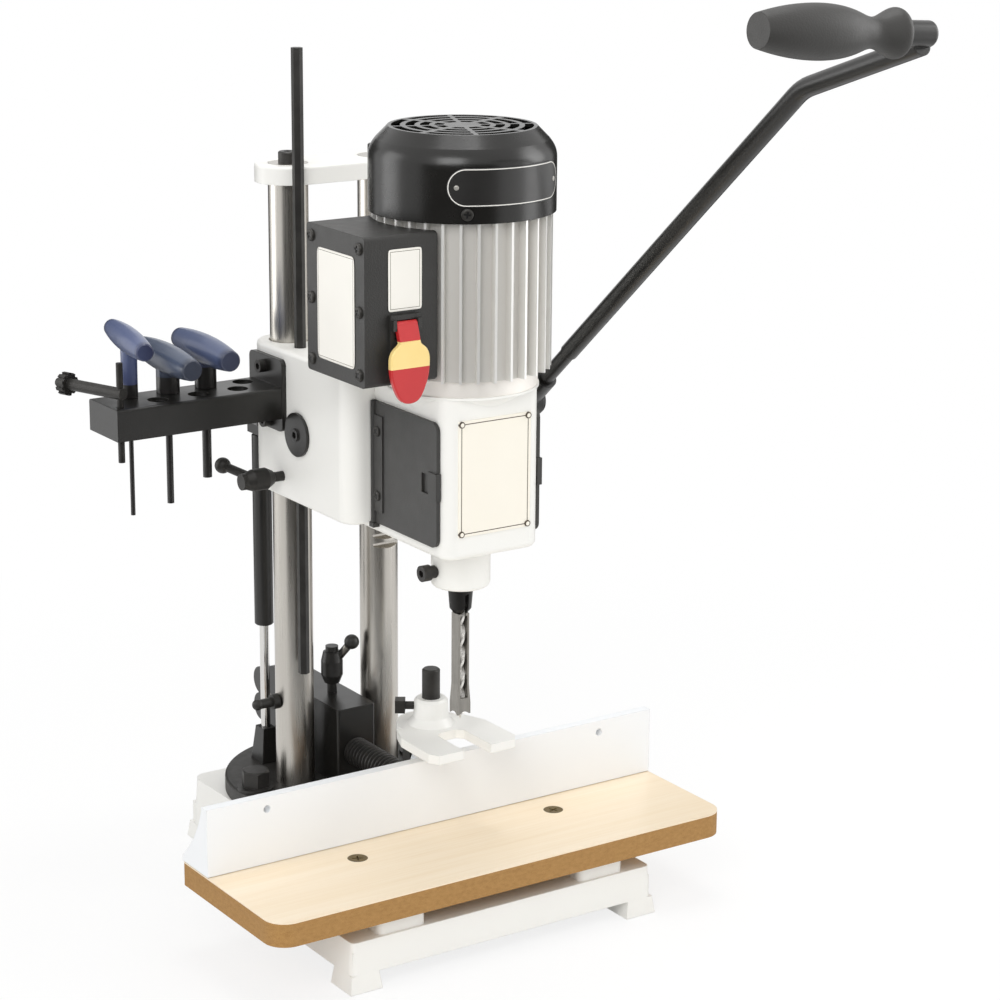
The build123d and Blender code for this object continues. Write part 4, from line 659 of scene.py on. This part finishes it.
def badgeRivets():
    low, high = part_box("fan_cover")
    places = []
    for run in (-badge["rivetRun"], badge["rivetRun"]):
        seat = onCover(np.array(run), low.z + badge["rise"], badge["thick"], low, high)
        axis = Vector((low.x + high.x, low.y + high.y, 2 * seat[2])) / 2
        places.append((tuple(seat), Vector(seat) - axis, 0.0))
    screwSet("badge_rivets", places, badge["rivetRadius"], badge["rivetHeight"], "head", rivetPale,
             slotted=False)


for labelName, label in labels.items():
    blankLabel(labelName, label)
motorBadge()
badgeRivets()
screwsOnCovers()
screwsOnDoors()
print("labels, badge and screw heads made")


# Studio: white floor, black cards, soft lamps and the photographer's camera

studio = {"floorSize": 9.0, "floorColour": rgb(250, 250, 249), "floorSunk": 0.0004, "keepShadow": 0.2,
          "fadeFrom": 0.3, "fadeTo": 1.1, "skyLevel": 0.55}
white = (1, 1, 1, 1)


def whiteStage():
    # the floor keeps a share of its shadow near the machine and glows plain white further out
    material = bpy.data.materials.new("white_floor")
    material.use_nodes = True
    tree = material.node_tree
    tree.nodes.remove(tree.nodes["Principled BSDF"])
    wire = Wire(tree)
    place = wire.node("ShaderNodeTexCoord", out="Object")
    reach = wire.node("ShaderNodeVectorMath", {"operation": "LENGTH"}, {0: place}, out="Value")
    near = wire.node("ShaderNodeMapRange", {"interpolation_type": "SMOOTHSTEP"},
                     {"Value": reach, "From Min": studio["fadeFrom"], "From Max": studio["fadeTo"],
                      "To Min": studio["keepShadow"], "To Max": 0.0})
    matt = wire.node("ShaderNodeBsdfDiffuse", sockets={"Color": studio["floorColour"]})
    glow = wire.node("ShaderNodeEmission", sockets={"Color": white, "Strength": 1.0})
    floor = wire.node("ShaderNodeMixShader", sockets={0: (1 - near) * seenByEye(wire), 1: matt, 2: glow})
    tree.links.new(floor.socket, tree.nodes["Material Output"].inputs["Surface"])
    half = studio["floorSize"] / 2
    corners = np.array([(-half, -half, 0), (half, -half, 0), (half, half, 0), (-half, half, 0)])
    sheet("floor", corners - (0, 0, studio["floorSunk"]), material)


def sheet(name, corners, material):
    mesh = bpy.data.meshes.new(name)
    mesh.from_pydata(corners.tolist(), [], [(0, 1, 2, 3)])
    mesh.materials.append(material)
    made = bpy.data.objects.new(name, mesh)
    bpy.context.scene.collection.objects.link(made)
    return made


def seenByEye(wire):  # 1 for camera, glossy and transmission rays
    path = wire.node("ShaderNodeLightPath", out="Is Camera Ray")
    rays = path.socket.node.outputs
    mirrored = path.higher(Wire(wire.tree, rays["Is Glossy Ray"]))
    return mirrored.higher(Wire(wire.tree, rays["Is Transmission Ray"]))


flagColour = rgb(16, 16, 16)
flags = {  # black cards that only shine back from metal; bearings in degrees, turned from the camera's side
    "front_flag": {"bearing": 4.0, "reach": 0.62, "width": 0.9, "height": 0.72},
    "left_flag": {"bearing": -142.0, "reach": 0.8, "width": 0.5, "height": 0.9},
    "right_flag": {"bearing": 142.0, "reach": 0.8, "width": 0.5, "height": 0.9},
}


def flagCard(name, flag):
    material = bpy.data.materials.new(name)
    material.use_nodes = True
    material.node_tree.nodes["Principled BSDF"].inputs["Base Color"].default_value = flagColour
    bearing = eye["yaw"] - math.radians(flag["bearing"])
    away = np.array([-math.sin(bearing), -math.cos(bearing), 0.0])
    along = np.array([away[1], -away[0], 0.0]) * flag["width"] / 2
    columns = (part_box("column_left")[0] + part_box("column_right")[1]) / 2
    foot = away * flag["reach"] + np.array([columns.x, columns.y, 0.0])
    top = np.array([0.0, 0.0, flag["height"]])
    corners = np.stack([foot - along, foot + along, foot + along + top, foot - along + top])
    card = sheet(name, corners, material)
    for ray in ("camera", "diffuse", "transmission", "volume_scatter", "shadow"):
        setattr(card, "visible_" + ray, False)


def sky():
    world = bpy.data.worlds.new("studio_sky")
    bpy.context.scene.world = world
    world.use_nodes = True
    tree = world.node_tree
    wire = Wire(tree)
    level = studio["skyLevel"] + (1.0 - studio["skyLevel"]) * seenByEye(wire)
    back = wire.node("ShaderNodeBackground", sockets={"Color": white, "Strength": level})
    tree.links.new(back.socket, tree.nodes["World Output"].inputs["Surface"])


lamps = {  # metres and watts; a strip only shines in glossy finishes
    "left_window": {"at": (-1.7, -1.5, 1.7), "aim": (0, 0.1, 0.4), "size": (1.3, 1.6), "power": 30.0},
    "right_window": {"at": (1.9, -0.6, 1.3), "aim": (0, 0.1, 0.45), "size": (0.9, 1.6), "power": 13.0},
    "top_window": {"at": (0.1, 0.2, 2.4), "aim": (0, 0.1, 0.3), "size": (1.0, 1.0), "power": 16.0},
    "left_strip": {"at": (-1.5, 1.3, 0.8), "aim": (0, 0.1, 0.8), "size": (0.9, 1.7), "power": 12.0,
                   "strip": True},
    "right_strip": {"at": (1.6, -1.0, 0.8), "aim": (0, 0.1, 0.8), "size": (0.7, 1.7), "power": 9.0,
                    "strip": True},
}


def lampAt(name, lamp):
    light = bpy.data.lights.new(name, "AREA")
    light.shape = "RECTANGLE"
    light.size, light.size_y = lamp["size"]
    light.energy = lamp["power"]
    lampObject = bpy.data.objects.new(name, light)
    away = Vector(lamp["aim"]) - Vector(lamp["at"])
    turn = away.to_track_quat("-Z", "Y").to_matrix()
    lampObject.matrix_world = Matrix.Translation(lamp["at"]) @ turn.to_4x4()
    lampObject.visible_camera = False
    lampObject.visible_diffuse = not lamp.get("strip", False)
    bpy.context.scene.collection.objects.link(lampObject)


eye = {"at": (-1.1059, -1.6445, 0.9156), "yaw": 0.5915, "pitch": 0.2726, "roll": 0.0082,
       "lens": 99.35, "sensor": 36.0, "farClip": 50.0}


def photographer():
    yaw, pitch, roll = eye["yaw"], eye["pitch"], eye["roll"]
    forward = Vector((math.sin(yaw) * math.cos(pitch), math.cos(yaw) * math.cos(pitch), -math.sin(pitch)))
    right = Vector((math.cos(yaw), -math.sin(yaw), 0.0))
    up = right.cross(forward)
    tiltedRight = math.cos(roll) * right + math.sin(roll) * up
    tiltedUp = math.cos(roll) * up - math.sin(roll) * right
    camera = bpy.data.cameras.new("photographer")
    camera.lens = eye["lens"]
    camera.sensor_width = eye["sensor"]
    camera.clip_end = eye["farClip"]
    cameraObject = bpy.data.objects.new("photographer", camera)
    turn = Matrix((tiltedRight, tiltedUp, -forward)).transposed()
    cameraObject.matrix_world = Matrix.Translation(eye["at"]) @ turn.to_4x4()
    bpy.context.scene.collection.objects.link(cameraObject)
    bpy.context.scene.camera = cameraObject


whiteStage()
for flagName, flag in flags.items():
    flagCard(flagName, flag)
sky()
for lampName, lamp in lamps.items():
    lampAt(lampName, lamp)
photographer()
bpy.context.scene.view_settings.view_transform = "Standard"
print("studio set with", len(lamps), "lamps")
